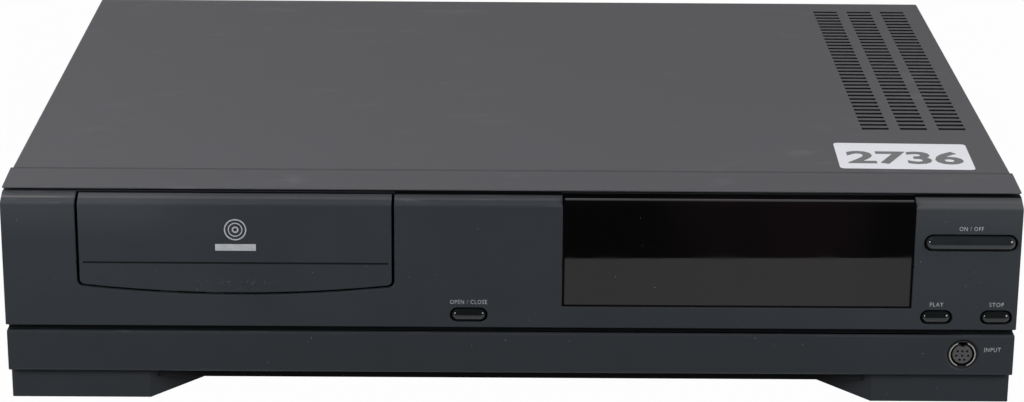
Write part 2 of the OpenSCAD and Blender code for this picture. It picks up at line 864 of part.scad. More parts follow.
// Folded sheet cover with three columns of slots
module top_cover() {
    color("slategray") difference() {
        through([front_d + fit_gap, case_d]) difference() {
            cover_outline(cover_half, case_h, cover_r);
            cover_outline(cover_half - sheet_t, case_h - sheet_t, max(0.2, cover_r - sheet_t));
        }
        for (column = [0:vent_columns - 1])
            for (row = [0:vent_rows - 1])
                translate([half_w - vent_side - column * vent_column_pitch,
                           case_d - vent_rear - row * vent_pitch, case_h])
                    cube([vent_l, vent_w, 4 * sheet_t], center = true);
        for (y = screw_ys)
            translate([0, y, screw_z]) rotate([0, 90, 0])
                cylinder(h = 2 * case_w, r = screw_r + fit_gap, center = true);
    }
}

module cover_outline(half, top, r) {
    rectangle([-half, half], [cover_z0, top - r]);
    rectangle([-half + r, half - r], [cover_z0, top]);
    for (side = [-1, 1])
        translate([side * (half - r), top - r]) circle(r);
}

module cover_screws() {
    color("silver")
        for (side = [0, 1])
            for (y = screw_ys)
                mirror([side, 0, 0]) translate([cover_half, y, screw_z]) rotate([0, 90, 0]) screw();
}

// Screw with a cross recess, its head above z = 0
module screw() {
    difference() {
        union() {
            cylinder(h = screw_head_t, r1 = screw_head_r, r2 = screw_head_r - screw_head_slope);
            translate([0, 0, -screw_l]) cylinder(h = screw_l + EPS, r = screw_r);
        }
        for (turn = [0, 90])
            rotate([0, 0, turn]) translate([0, 0, screw_head_t])
                cube([screw_slot_l, screw_slot_w, 2 * screw_slot_d], center = true);
    }
}

// Moulded front panel, open at the back
module front_panel() {
    color("darkslategray") difference() {
        union() {
            difference() {
                across([-half_w, half_w]) front_profile(0, 0, panel_z0, front_d);
                across([-side_in, side_in])
                    front_profile(wall, shelf_t, panel_z0 + shelf_t, front_d + CUT);
            }
            panel_bosses();
        }
        flap_notch();
        window_notch();
        loader_notch();
        key_hole(power_x, power_z, power_w, power_h);
        key_hole(play_x, key_z, key_w, key_h);
        key_hole(stop_x, key_z, key_w, key_h);
        key_hole(open_x, key_z, open_w, key_h);
    }
}

module panel_bosses() {
    for (z = [boss_low_z, boss_high_z]) {
        rod(boss_left_x, z, [wall - EPS, control_y], boss_r);
        rod(boss_right_x, z, [wall - EPS, control_y], boss_r);
    }
}

module flap_notch() {
    through([-CUT, flap_d + flap_gap]) flap_outline(flap_gap, case_h);
}

module window_notch() {
    through([-CUT, window_d + window_gap])
        rectangle([window_x0 - window_gap, window_x1 + window_gap],
                  [window_z0 - window_gap, case_h]);
}

// Cut-out in the shelves of the front for the loader's legs and motor
module loader_notch() {
    translate([tray_x, 0, 0])
        span([-frame_half - loader_gap, frame_half + loader_gap], [frame_y0 - loader_gap, front_d + CUT],
             [band_z1 - shelf_t - CUT, panel_z0 + shelf_t + CUT]);
}

module key_hole(x, z, w, h) {
    translate([x, 0, z]) through([-CUT, wall + CUT])
        capsule(w + 2 * key_gap, h + 2 * key_gap);
}

// Lower band of the front with the groove above it
module lower_trim() {
    color("darkslategray") difference() {
        union() {
            across([band_inset - half_w, half_w - band_inset]) polygon([
                [0, band_z0 + band_bevel], [band_bevel, band_z0], [front_d, band_z0],
                [front_d, band_z1], [band_bevel, band_z1], [0, band_z1 - band_bevel]
            ]);
            span([-half_w + groove_side, half_w - groove_side], [groove_d, front_d],
                 [band_z1 - EPS, panel_z0]);
        }
        span([-side_in, side_in], [wall, front_d + CUT], [band_z0 - CUT, band_z1 - shelf_t]);
        span([-side_in, side_in], [groove_d + shelf_t, front_d + CUT], [band_z1, panel_z0 + CUT]);
        input_hole();
        loader_notch();
    }
}

// Bevelled hole in the band for the nose of the input socket
module input_hole() {
    hole_r = din_nose_r + fit_gap;
    rod(input_x, input_z, [-CUT, wall + CUT], hole_r);
    translate([input_x, -CUT, input_z]) rotate([-90, 0, 0])
        cylinder(h = CUT + din_bevel, r1 = hole_r + CUT + din_bevel, r2 = hole_r);
}

// Strip between the front panel and the cover, with a thin lip at the front
module top_trim() {
    rear_half = half_w + trim_side;
    front_half = rear_half - trim_taper;
    color("slategray") difference() {
        upright([top_z, case_h]) polygon([
            [-front_half, chamfer_d], [front_half, chamfer_d],
            [rear_half, front_d], [-rear_half, front_d]
        ]);
        span([-rear_half - CUT, rear_half + CUT], [chamfer_d - CUT, chamfer_d + trim_lip],
             [top_z - CUT, top_z + trim_gap]);
    }
}

// Smoked window that turns over the top edge of the panel
module display_window() {
    color("black") across([window_x0, window_x1]) difference() {
        window_side_view(window_recess, window_z1, window_r, window_d);
        window_side_view(wall, window_z1 - wall + window_recess,
                         window_r - wall + window_recess, window_d + CUT);
    }
}

module window_side_view(front, top, r, depth) {
    rectangle([front, depth], [window_z0 - (front > window_recess ? CUT : 0), top - r]);
    rectangle([front + r, depth], [top - r - EPS, top]);
    translate([front + r, top - r]) circle(r);
}

module display_holder() {
    color("#202022") difference() {
        span([window_x0 - holder_border, window_x1 + holder_border], holder_y,
             [window_z0 - holder_border, crease_z - shelf_t - board_edge]);
        span(tube_x, [holder_y[0] - CUT, holder_y[1] + CUT],
             [tube_z - tube_h / 2, tube_z + tube_h / 2]);
    }
}

module display_tube() {
    color("#2c3a3a")
        span(tube_x, [control_y - tube_t, control_y],
             [tube_z - tube_h / 2, tube_z + tube_h / 2]);
}

// Upright board behind the panel; the power link passes through it
module control_board() {
    color("darkgreen") difference() {
        span(control_x, [control_y, control_y + board_t], control_z);
        span([power_x - link_w / 2 - link_clear, power_x + link_w / 2 + link_clear],
             [control_y - CUT, control_y + board_t + CUT],
             [power_z - link_h / 2 - link_clear, power_z + link_h / 2 + link_clear]);
    }
}

module key_switches() {
    color("#303030")
        for (x = [open_x, play_x, stop_x]) {
            translate([x - switch_body / 2, control_y - switch_body_t, key_z - switch_body / 2])
                cube([switch_body, switch_body_t, switch_body]);
            rod(x, key_z, [switch_tip_y, control_y - switch_body_t + EPS], plunger_r);
        }
}

// Key cap with a crowned face, a flange over it behind the panel and a stem
module key_cap(x, z, w, h, proud, crown, tip) {
    crown_r = (pow(h / 2, 2) + pow(crown, 2)) / (2 * crown);
    crown_y = crown_r - proud;
    translate([x, 0, z]) {
        intersection() {
            through([-proud, key_back]) capsule(w, h);
            union() {
                translate([-(w - h) / 2, crown_y, 0]) rotate([0, 90, 0])
                    cylinder(h = w - h, r = crown_r);
                for (side = [-1, 1])
                    translate([side * (w - h) / 2, crown_y, 0]) sphere(crown_r);
                through([crown_y, key_back]) capsule(w, h);
            }
        }
        through([flange_y, key_back]) rectangle([-(w - h) / 2, (w - h) / 2], [0, h / 2 + flange_w]);
    }
    if (tip > key_back)
        rod(x, z, [key_back - EPS, tip], stem_r);
}

module open_button() {
    color("#2b2d30") key_cap(open_x, key_z, open_w, key_h, key_proud, key_crown, key_tip_y);
}

module play_button() {
    color("#2b2d30") key_cap(play_x, key_z, key_w, key_h, key_proud, key_crown, key_tip_y);
}

module stop_button() {
    color("#2b2d30") key_cap(stop_x, key_z, key_w, key_h, key_proud, key_crown, key_tip_y);
}

module power_button() {
    color("#2b2d30") key_cap(power_x, power_z, power_w, power_h, power_proud, power_crown, key_back);
}

// Cranked bar from the power key down to the mains switch
module power_link() {
    arm_y = crank_y - crank_w;
    color("ivory") across([power_x - link_w / 2, power_x + link_w / 2]) {
        rectangle([key_back, crank_y], [power_z - link_h / 2, power_z + link_h / 2]);
        rectangle([arm_y, crank_y], [link_z - link_h / 2, power_z]);
        rectangle([arm_y, switch_y - plunger_out], [link_z - link_h / 2, link_z + link_h / 2]);
    }
}

module switch_plunger() {
    color("white")
        span([power_x - plunger_w / 2, power_x + plunger_w / 2],
             [switch_y - plunger_out, switch_y + plunger_in],
             [link_z - plunger_w / 2, link_z + plunger_w / 2]);
}

module mains_switch() {
    bore = plunger_w / 2 + fit_gap;
    color("#252525") difference() {
        span([power_x - switch_w / 2, power_x + switch_w / 2], [switch_y, switch_y + switch_l],
             [board_z[1], board_z[1] + max(switch_h, link_lift + plunger_w)]);
        span([power_x - bore, power_x + bore],
             [switch_y - CUT, switch_y + plunger_in + power_travel + run_gap],
             [link_z - bore, link_z + bore]);
    }
}

// Moulded front feet, each with a lip in front of the pan that reaches up to the lower trim
module front_feet() {
    color("darkslategray")
        for (side = [0, 1])
            mirror([side, 0, 0]) difference() {
                union() {
                    upright([pad_proud, foot_h]) foot_plan(foot_setback + foot_d);
                    upright([foot_h - EPS, band_z0 - fit_gap]) foot_plan(pan_y - fit_gap);
                }
                front_pad(fit_gap);
            }
}

// Plan of a front foot back to a given depth; its inner end runs back at a slant
module foot_plan(back) {
    outer = half_w - foot_inset;
    inner = outer - foot_w;
    slant = foot_slant_w / foot_d;
    polygon([
        [outer, foot_setback], [inner, foot_setback],
        [inner - (back - foot_setback) * slant, back], [outer, back]
    ]);
}

module front_pad(gap) {
    outer = half_w - foot_inset;
    span([outer - foot_w + pad_margin - gap, outer - pad_margin + gap],
         [foot_setback + pad_margin - gap, foot_setback + foot_d - pad_margin + gap],
         [gap > 0 ? -CUT : 0, pad_proud + pad_seat]);
}

module rear_feet() {
    color("#242424")
        for (side = [-1, 1])
            translate([side * rear_foot_x, rear_foot_y, 0]) difference() {
                translate([0, 0, pad_proud])
                    cylinder(h = foot_h - pad_proud, r1 = rear_foot_r - rear_foot_draft, r2 = rear_foot_r);
                translate([0, 0, -CUT])
                    cylinder(h = pad_proud + pad_seat + CUT, r = rear_pad_r + fit_gap);
            }
}

module foot_pads() {
    color("#181818") {
        for (side = [0, 1])
            mirror([side, 0, 0]) front_pad(0);
        for (side = [-1, 1])
            translate([side * rear_foot_x, rear_foot_y, 0])
                cylinder(h = pad_proud + pad_seat, r = rear_pad_r);
    }
}

// Round socket that faces -Y: a nose with a round well, and a block behind it
module round_socket(face_y) {
    difference() {
        union() {
            rod(0, 0, [face_y, face_y + din_nose_l], din_nose_r);
            translate([0, face_y + din_nose_l + din_d / 2 - EPS, 0])
                cube([din_block_w, din_d, din_block_h], center = true);
        }
        rod(0, 0, [face_y - CUT, face_y + din_groove_d], din_ring_r + EPS);
    }
}

// Insulator in the well of a round socket, with a key notch and a blind hole for each pin
module socket_core(face_y, pins) {
    difference() {
        rod(0, 0, [face_y, face_y + din_groove_d], din_core_r);
        span([-din_notch_w / 2, din_notch_w / 2], [face_y - CUT, face_y + din_pin_d],
             [din_core_r - din_notch_h, din_core_r + CUT]);
        for (p = pins)
            rod(p[0], p[1], [face_y - CUT, face_y + din_pin_d], din_pin_r);
    }
}

module input_socket() {
    color("#4a4b4d") translate([input_x, 0, input_z]) round_socket(din_face_y);
}

// Both round sockets' insulators
module socket_cores() {
    color("#5a5b5d") {
        translate([input_x, 0, input_z]) socket_core(din_face_y, din_pins);
        video_place() socket_core(0, video_pins);
    }
}

// Metal ring of the input socket, split at the top and the bottom
module input_ring() {
    split = 4;
    proud = 0.3;
    reach = 6.5;
    color("silver") translate([input_x, 0, input_z]) difference() {
        rod(0, 0, [din_face_y - proud, din_face_y + reach], din_ring_r);
        rod(0, 0, [din_face_y - CUT, din_face_y + reach + CUT], din_ring_r - din_ring_t);
        translate([0, din_face_y + reach / 2, 0])
            cube([split, 2 * reach, 4 * din_ring_r], center = true);
    }
}

module input_board() {
    color("darkgreen")
        span([input_boss_xs[0] - boss_r, input_boss_xs[1] + boss_r],
             input_board_y, input_board_z);
}

module main_board() {
    color("darkgreen") span(main_board_x, main_board_y, board_z);
}

// Large chips on the main board, as [x, y, width, depth, height] in units of chip_pitch from its
// front left corner
module board_chips() {
    chips = [[5, 5, 6, 6, 0.75], [15, 5, 6, 6, 0.75], [25, 6, 9, 3.5, 1], [25, 12, 9, 3.5, 1],
             [5, 20, 4.5, 10, 1], [12.5, 20, 4.5, 10, 1], [22.5, 22.5, 7, 7, 0.75], [32.5, 22.5, 3, 7.5, 3]];
    color("#1c1c1e")
        for (c = chips)
            translate([main_board_x[0], main_board_y[0], board_z[1]] + chip_pitch * [c[0], c[1], 0])
                cube(chip_pitch * [c[2], c[3], c[4]]);
}

module power_board() {
    color("tan") span(power_board_x, power_board_y, board_z);
}

// Mains transformer: a laminated core round one coil
module transformer_place() {
    translate([(power_board_x[0] + power_board_x[1]) / 2, rear_in - transformer_rear,
               board_z[1] + core_h / 2])
        children();
}

module transformer_core() {
    color("#5a5650") transformer_place() difference() {
        cube([core_w, core_t, core_h], center = true);
        for (side = [-1, 1])
            translate([side * (limb_w + core_window) / 2, 0, 0])
                cube([core_window, core_t + CUT, core_h - limb_w], center = true);
    }
}

module transformer_coil() {
    gap = 2 * fit_gap;
    color("#8a5a2a") transformer_place() difference() {
        cube([limb_w + 2 * core_window - gap, core_t + 2 * coil_over, core_h - limb_w - gap],
             center = true);
        cube([limb_w + gap, core_t + gap, core_h], center = true);
    }
}

// Two-pin mains inlet
module mains_inlet() {
    color("#202020") translate([inlet_x, 0, inlet_z]) difference() {
        through([rear_in - inlet_d, rear_y + inlet_reach])
            square([inlet_w, inlet_h], center = true);
        through([rear_y + inlet_reach - inlet_cup_d, rear_y + inlet_reach + CUT])
            capsule(inlet_cup_w, inlet_cup_h);
    }
}

module inlet_pins() {
    floor_y = rear_y + inlet_reach - inlet_cup_d;
    color("silver")
        for (side = [-1, 1])
            rod(inlet_x + side * inlet_pin_half, inlet_z, [floor_y, floor_y + inlet_pin_l],
                inlet_pin_r);
}

// Three phono sockets: an insulating block and metal barrels
module phono_housing() {
    color("#2a2a2a") difference() {
        union() {
            span([phono_x - 1.5 * phono_pitch, phono_x + 1.5 * phono_pitch],
                 [rear_in - phono_block_d, rear_in - fit_gap],
                 [board_z[1], rear_socket_z + phono_block_h / 2]);
            for (i = [-1, 0, 1])
                rod(phono_x + i * phono_pitch, rear_socket_z,
                    [rear_in - CUT, rear_y + phono_reach - phono_core_short], phono_core_r);
        }
        for (i = [-1, 0, 1])
            rod(phono_x + i * phono_pitch, rear_socket_z,
                [rear_in - phono_pin_d, rear_y + phono_reach], phono_pin_r);
    }
}

module phono_barrels() {
    color("silver")
        for (i = [-1, 0, 1])
            difference() {
                rod(phono_x + i * phono_pitch, rear_socket_z,
                    [rear_y, rear_y + phono_reach], phono_r);
                rod(phono_x + i * phono_pitch, rear_socket_z,
                    [rear_in, rear_y + phono_reach + CUT], phono_bore_r);
            }
}

// Multiway video socket with one slanted end and two rows of slots
module multiway_outline(gap) {
    half_x = multi_w / 2 + gap;
    half_z = multi_h / 2 + gap;
    polygon([[-half_x, -half_z], [half_x, -half_z], [half_x, half_z], [-half_x + multi_cut, half_z]]);
}

module multiway_socket() {
    color("#1e1e1e") translate([multi_x, 0, rear_socket_z]) difference() {
        union() {
            through([rear_in - multi_d, rear_y + multi_reach]) multiway_outline(0);
            span([-multi_w / 2, multi_w / 2], [rear_in - multi_d, rear_in - board_edge],
                 [board_z[1] - rear_socket_z, 0]);
        }
        for (i = [0:multi_slots - 1])
            for (row = [-1, 1])
                translate([(i - (multi_slots - 1) / 2 + row / 4) * multi_slot_pitch,
                           rear_y + multi_reach, row * multi_row_z])
                    cube(multi_slot, center = true);
    }
}

// Place of the round video socket, which faces the back
module video_place() {
    translate([video_x, rear_y + video_proud, rear_socket_z]) rotate([0, 0, 180]) children();
}

module video_socket() {
    color("#1e1e1e") {
        video_place() round_socket(0);
        translate([video_x, 0, rear_socket_z])
            span([-din_block_w / 2, din_block_w / 2], [rear_in - din_d, rear_in - din_nose_l],
                 [board_z[1] - rear_socket_z, EPS - din_block_h / 2]);
    }
}

// Plain plate over the cartridge opening
module cartridge_cover() {
    color("dimgray")
        span([hatch_x - hatch_w / 2, hatch_x + hatch_w / 2], [rear_y, rear_y + hatch_t],
             [hatch_z, hatch_z + hatch_h]);
}

// Frame of the loader: side channels for the tray, a deck for the gears and lugs for the drive
module loader_frame() {
    color("#3a3a3c") difference() {
        union() {
            for (side = [0, 1])
                translate([tray_x, 0, 0]) mirror([side, 0, 0]) loader_side();
            translate([tray_x, 0, 0]) {
                span([-frame_half, frame_half],
                     [frame_y0, cam_y1 + run_gap + cam_rib_t], [deck_z0, deck_z1]);
                span([-frame_half, frame_half], [drive_y1 + chassis_edge, frame_y1], [deck_z0, deck_z1]);
            }
            for (y = [cam_y0 - run_gap - cam_rib_t, cam_y1 + run_gap])
                span([cam_x[0] - cam_clear, cam_x[1] + cam_travel], [y, y + cam_rib_t],
                     [deck_z1 - EPS, deck_z1 + cam_rib_h]);
            post(tray_gear_x, gear_y, [deck_z1 - EPS, pinion_z1 - pin_short], gear_pin_r);
            post(pulley_x, gear_y, [deck_z1 - EPS, wheel_z[1] - pin_short], gear_pin_r);
        }
        post(motor_x, gear_y, [deck_z0 - CUT, deck_z1 + CUT], motor_shaft_r + shaft_clear);
    }
}

// One side of the loader, seen from its middle towards +X
module loader_side() {
    rail_z = [tray_under - run_gap, seat_z + run_gap];
    difference() {
        span([frame_in, frame_half], [frame_y0, frame_y1], [deck_z0, bridge_z]);
        span([frame_in - CUT, groove_half], [frame_y0 - CUT, frame_y1 + CUT], rail_z);
    }
    for (y = guide_ys) {
        span([guide_x - ear_r, frame_in + EPS], [y - ear_r, y + ear_r], [deck_z0, lug_z1]);
        post(guide_x, y, [lug_z1 - EPS, chassis_z1 + lift_h + guide_over], guide_r);
    }
    for (y = [frame_y0 + leg_r + board_edge, frame_y1 - leg_r - board_edge])
        post(leg_x, y, [pan_top, deck_z0 + EPS], leg_r);
}

// Tray with a large and a small disc recess and a slot that runs out at the back
module disc_tray() {
    color("#333537") translate([tray_x, 0, 0]) difference() {
        union() {
            span([-tray_half, tray_half], [tray_y0, disc_y + disc_d / 2 + tray_back_wall],
                 [tray_under, tray_rim_z]);
            span([-tray_half, tray_half], [disc_y, tray_y1], [tray_under, tail_z]);
            span([-tongue_half, tongue_half], [wall, tray_y0 + EPS], [tray_under, tray_rim_z]);
            span([-flap_w / 2, flap_w / 2], [tray_y0, tray_y1], [tray_under, seat_z]);
        }
        post(0, disc_y, [seat_z, tray_rim_z + CUT], disc_d / 2 + disc_gap);
        post(0, disc_y, [seat_z - small_step, tray_rim_z + CUT], small_disc_d / 2 + disc_gap);
        post(0, disc_y, [tray_under - CUT, tray_rim_z + CUT], slot_half);
        span([-slot_half, slot_half], [disc_y, tray_y1 + CUT], [tray_under - CUT, tray_rim_z + CUT]);
    }
}

// Rack under the left arm of the tray
module tray_rack() {
    color("#4a4a4c") translate([tray_x - rack_offset, 0, rack_z0]) linear_extrude(rack_h)
        rack_outline(rack_module, TOOTH_SLACK,
                     [gear_y - rack_margin, gear_y + tray_travel + rack_margin], gear_y, rack_back);
}

// Tray front: a shell that carries on the chamfer of the panel
module tray_front() {
    line_half = flap_w / 2 - flap_line_end;
    line_z = flap_z0 + flap_line_lift;
    color("darkslategray") difference() {
        intersection() {
            through([0, flap_d]) flap_outline(0, case_h);
            across([-half_w, half_w]) front_profile(0, 0, 0, flap_d);
        }
        intersection() {
            through([wall, flap_d + CUT]) flap_outline(-wall, case_h);
            across([-half_w, half_w]) front_profile(wall, shelf_t, 0, flap_d + CUT);
        }
        span([tray_x - line_half, tray_x + line_half], [-CUT, flap_line_d],
             [line_z - flap_line_w / 2, line_z + flap_line_w / 2]);
    }
}

// Compound wheel that drives the rack
module tray_gear() {
    color("white") translate([tray_gear_x, gear_y, 0]) difference() {
        union() {
            post(0, 0, [deck_z1 + fit_gap, wheel_z[0] + EPS], gear_hub_r);
            translate([0, 0, wheel_z[0]]) linear_extrude(wheel_t)
                gear_outline(wheel_module, wheel_teeth, TOOTH_SLACK, 0);
            translate([0, 0, wheel_z[1] - EPS]) linear_extrude(pinion_z1 - wheel_z[1])
                gear_outline(rack_module, pinion_teeth, TOOTH_SLACK, 180);
        }
        post(0, 0, [deck_z1, pinion_z1 + CUT], gear_pin_r + bearing_gap);
    }
}

// Grooved belt pulley
module pulley(r) {
    floor_r = r - belt_w / 2 - fit_gap;
    lip_t = (pulley_t - belt_w) / 2 - run_gap;
    post(0, 0, pulley_z, floor_r);
    for (z = [pulley_z[0], pulley_z[1] - lip_t])
        post(0, 0, [z, z + lip_t], r + pulley_lip);
}

module pulley_gear() {
    color("white") translate([pulley_x, gear_y, 0]) difference() {
        union() {
            post(0, 0, [deck_z1 + fit_gap, wheel_z[0] + EPS], gear_hub_r);
            pulley(pulley_r);
            translate([0, 0, wheel_z[0]]) linear_extrude(wheel_t)
                gear_outline(wheel_module, pulley_teeth, TOOTH_SLACK, 180 + 180 / pulley_teeth);
        }
        post(0, 0, [deck_z1, wheel_z[1] + CUT], gear_pin_r + bearing_gap);
    }
}

// Square belt round the two pulleys
module belt_loop(grow) {
    big_r = pulley_r + grow;
    small_r = motor_pulley_r + grow;
    swing = acos((big_r - small_r) / pulley_pitch);
    polygon(concat(arc([0, 0], big_r, swing, 360 - swing),
                   arc([pulley_pitch, 0], small_r, -swing, swing)));
}

module drive_belt() {
    color("#151515") translate([pulley_x, gear_y, belt_z - belt_w / 2])
        linear_extrude(belt_w) difference() {
            belt_loop(belt_w / 2);
            belt_loop(-belt_w / 2);
        }
}

module loading_motor() {
    color("silver") difference() {
        post(motor_x, gear_y, [deck_z0 - load_motor_h, deck_z0], load_motor_r);
        post(motor_x, gear_y, [deck_z0 - bearing_l - CUT, deck_z0 + CUT], motor_shaft_r + bearing_gap);
    }
}

module motor_pulley() {
    color("#c8b070") translate([motor_x, gear_y, 0]) {
        pulley(motor_pulley_r);
        post(0, 0, [deck_z0 - bearing_l, pulley_z[0] + EPS], motor_shaft_r);
    }
}

// Sliding plate whose two sloped slots raise the drive
module lift_cam() {
    color("#d8d8d0") difference() {
        span(cam_x, [cam_y0, cam_y1], [cam_z0, cam_z1]);
        for (x = cam_pins)
            through([cam_y0 - CUT, cam_y1 + CUT]) cam_slot(x);
    }
}

module cam_slot(x) {
    angle = atan2(lift_h, -cam_travel);
    length = norm([cam_travel, lift_h]);
    translate([x, lift_pin_z]) rotate(angle) {
        translate([0, -cam_slot_r]) square([length, 2 * cam_slot_r]);
        circle(cam_slot_r);
        translate([length, 0]) circle(cam_slot_r);
    }
}

// Plate that carries the disc motor and the pickup, with ears for its bushes
module drive_chassis() {
    color("#9a9c9e") difference() {
        union() {
            translate([tray_x, 0, 0]) {
                span([-chassis_half, chassis_half], [drive_y0, drive_y1], [chassis_z0, chassis_z1]);
                for (side = [-1, 1])
                    for (y = guide_ys)
                        post(side * guide_x, y, [chassis_z0, chassis_z1], ear_r);
                for (side = [-1, 1])
                    for (y = rod_post_ys)
                        span([side * rod_half - rod_post_w / 2, side * rod_half + rod_post_w / 2],
                             [y, y + rod_post_t], [chassis_z1 - EPS, rod_z + rod_post_w / 2]);
            }
            for (x = cam_pins)
                rod(x, lift_pin_z, [cam_y0 + run_gap, drive_y0 + EPS], lift_pin_r);
            post(sled_gear_x, sled_gear_y, [chassis_z1 - EPS, sled_wheel_z[1]], sled_pin_r);
        }
        translate([tray_x, 0, 0]) {
            post(0, disc_y, [chassis_z0 - CUT, chassis_z1 + CUT], spindle_r + shaft_clear);
            span([-rod_half + rod_post_w, rod_half - rod_post_w], [sled_y0, rod_post_ys[1] - rod_post_t],
                 [chassis_z0 - CUT, chassis_z1 + CUT]);
            for (side = [-1, 1]) {
                for (y = guide_ys)
                    post(side * guide_x, y, [chassis_z0 - CUT, chassis_z1 + CUT], bush_r + bearing_gap);
                rod(side * rod_half, rod_z, [rod_post_ys[0] - CUT, drive_y1], rod_r + bearing_gap);
            }
        }
        post(sled_gear_x, sled_motor_y, [chassis_z0 - CUT, chassis_z1 + CUT],
             sled_shaft_r + sled_shaft_clear);
    }
}

// Rubber spools in the chassis ears, loose on the guide posts
module damper_bushes() {
    color("#202020")
        for (side = [-1, 1])
            for (y = guide_ys)
                translate([tray_x + side * guide_x, y, 0]) difference() {
                    union() {
                        post(0, 0, [chassis_z0 - bush_flange_t, chassis_z1 + bush_flange_t], bush_r);
                        post(0, 0, [chassis_z0 - bush_flange_t, chassis_z0], bush_flange_r);
                        post(0, 0, [chassis_z1, chassis_z1 + bush_flange_t], bush_flange_r);
                    }
                    post(0, 0, [chassis_z0 - 2 * CUT, chassis_z1 + 2 * CUT], bush_bore_r);
                }
}

module spindle_motor() {
    color("silver") translate([tray_x, disc_y, 0]) difference() {
        post(0, 0, [chassis_z0 - spindle_motor_h, chassis_z0], spindle_motor_r);
        post(0, 0, [chassis_z0 - spindle_motor_h + motor_floor, chassis_z0 + CUT], spindle_r + bearing_gap);
    }
}

// Turntable with its centring hub and shaft
module turntable() {
    floor_z = turntable_z1 - turntable_t;
    color("#28282a") translate([tray_x, disc_y, 0]) {
        post(0, 0, [chassis_z0 - spindle_motor_h + shaft_end, floor_z + EPS], spindle_r);
        post(0, 0, [chassis_z1 + chassis_gap, floor_z + EPS], turntable_boss_r);
        post(0, 0, [floor_z, turntable_z1], turntable_r);
        post(0, 0, [turntable_z1 - EPS, turntable_z1 + hub_h - hub_bevel], hub_r);
        translate([0, 0, turntable_z1 + hub_h - hub_bevel])
            cylinder(h = hub_bevel, r1 = hub_r, r2 = hub_r - hub_bevel);
    }
}

// Steel bridge over the tray that carries the clamper
module clamp_bridge() {
    color("silver") difference() {
        translate([tray_x, 0, 0])
            span([-frame_half, frame_half], [disc_y - bridge_half_l, disc_y + bridge_half_l],
                 [bridge_z, bridge_z + bridge_t]);
        post(tray_x, disc_y, [bridge_z - CUT, bridge_z + bridge_t + CUT], clamp_hole_r);
    }
}

// Clamper: a pad below the bridge, a neck through it and a flange above
module clamper() {
    flange_z = bridge_z + bridge_t + fit_gap;
    color("#e8e4da") translate([tray_x, disc_y, 0]) difference() {
        union() {
            post(0, 0, [clamp_z0, bridge_z - run_gap], clamp_r);
            post(0, 0, [clamp_z0, flange_z + EPS], clamp_neck_r);
            post(0, 0, [flange_z, flange_z + clamp_flange_t], clamp_r);
        }
        post(0, 0, [clamp_z0 - CUT, clamp_z0 + hub_h], hub_r + clamp_slack);
    }
}

// Pickup sled on two rods, with a rack on a side arm
module pickup_sled() {
    arm_y = [sled_y0 + sled_rack_margin, sled_y1 - sled_rack_margin];
    rack_y = [sled_gear_y - pickup_travel - sled_rack_margin, sled_gear_y + sled_rack_margin];
    color("#2e2f31") difference() {
        union() {
            translate([tray_x, 0, 0])
                span([-sled_half, sled_half], [sled_y0, sled_y1], sled_z);
            span([tray_x + sled_half - CUT, sled_rack_x - sled_module], arm_y, sled_rack_z);
            translate([sled_rack_x, 0, sled_rack_z[0]])
                linear_extrude(sled_rack_z[1] - sled_rack_z[0])
                    rack_outline(sled_module, SMALL_TOOTH_SLACK, rack_y, sled_gear_y, sled_rack_strip);
        }
        rod(tray_x - rod_half, rod_z, [sled_y0 - CUT, sled_y1 + CUT], rod_r + bearing_gap);
        translate([tray_x + rod_half, 0, rod_z])
            span([-rod_r - bearing_gap, sled_half], [sled_y0 - CUT, sled_y1 + CUT],
                 [-rod_r - bearing_gap, rod_r + bearing_gap]);
    }
}

module pickup_lens() {
    color("lightblue") post(tray_x, lens_y, [sled_z[1], sled_z[1] + lens_h], lens_r);
}

module guide_rods() {
    color("silver")
        for (side = [-1, 1])
            rod(tray_x + side * rod_half, rod_z, [rod_post_ys[0], rod_post_ys[1] + rod_post_t], rod_r);
}

// Compound wheel that drives the sled's rack
module sled_gear() {
    foot_z = chassis_z1 + fit_gap;
    color("white") translate([sled_gear_x, sled_gear_y, 0]) difference() {
        union() {
            translate([0, 0, foot_z]) linear_extrude(sled_wheel_z[0] - foot_z + EPS)
                gear_outline(sled_module, sled_pinion_teeth, SMALL_TOOTH_SLACK, 180);
            translate([0, 0, sled_wheel_z[0]]) linear_extrude(sled_wheel_z[1] - sled_wheel_z[0])
                gear_outline(sled_module, sled_wheel_teeth, SMALL_TOOTH_SLACK, 270);
        }
        post(0, 0, [chassis_z1, sled_wheel_z[1] + CUT], sled_pin_r + bearing_gap);
    }
}

module sled_motor() {
    color("silver") translate([sled_gear_x, sled_motor_y, 0]) difference() {
        post(0, 0, [chassis_z0 - sled_motor_h, chassis_z0], sled_motor_r);
        post(0, 0, [chassis_z0 - sled_motor_h + motor_floor, chassis_z0 + CUT], sled_shaft_r + bearing_gap);
    }
}

module sled_pinion() {
    color("#c8b070") translate([sled_gear_x, sled_motor_y, 0]) {
        post(0, 0, [chassis_z0 - sled_motor_h + shaft_end, sled_wheel_z[1]], sled_shaft_r);
        translate([0, 0, sled_wheel_z[0]]) linear_extrude(sled_wheel_z[1] - sled_wheel_z[0])
            gear_outline(sled_module, sled_motor_teeth, SMALL_TOOTH_SLACK,
                         90 + 180 / sled_motor_teeth);
    }
}

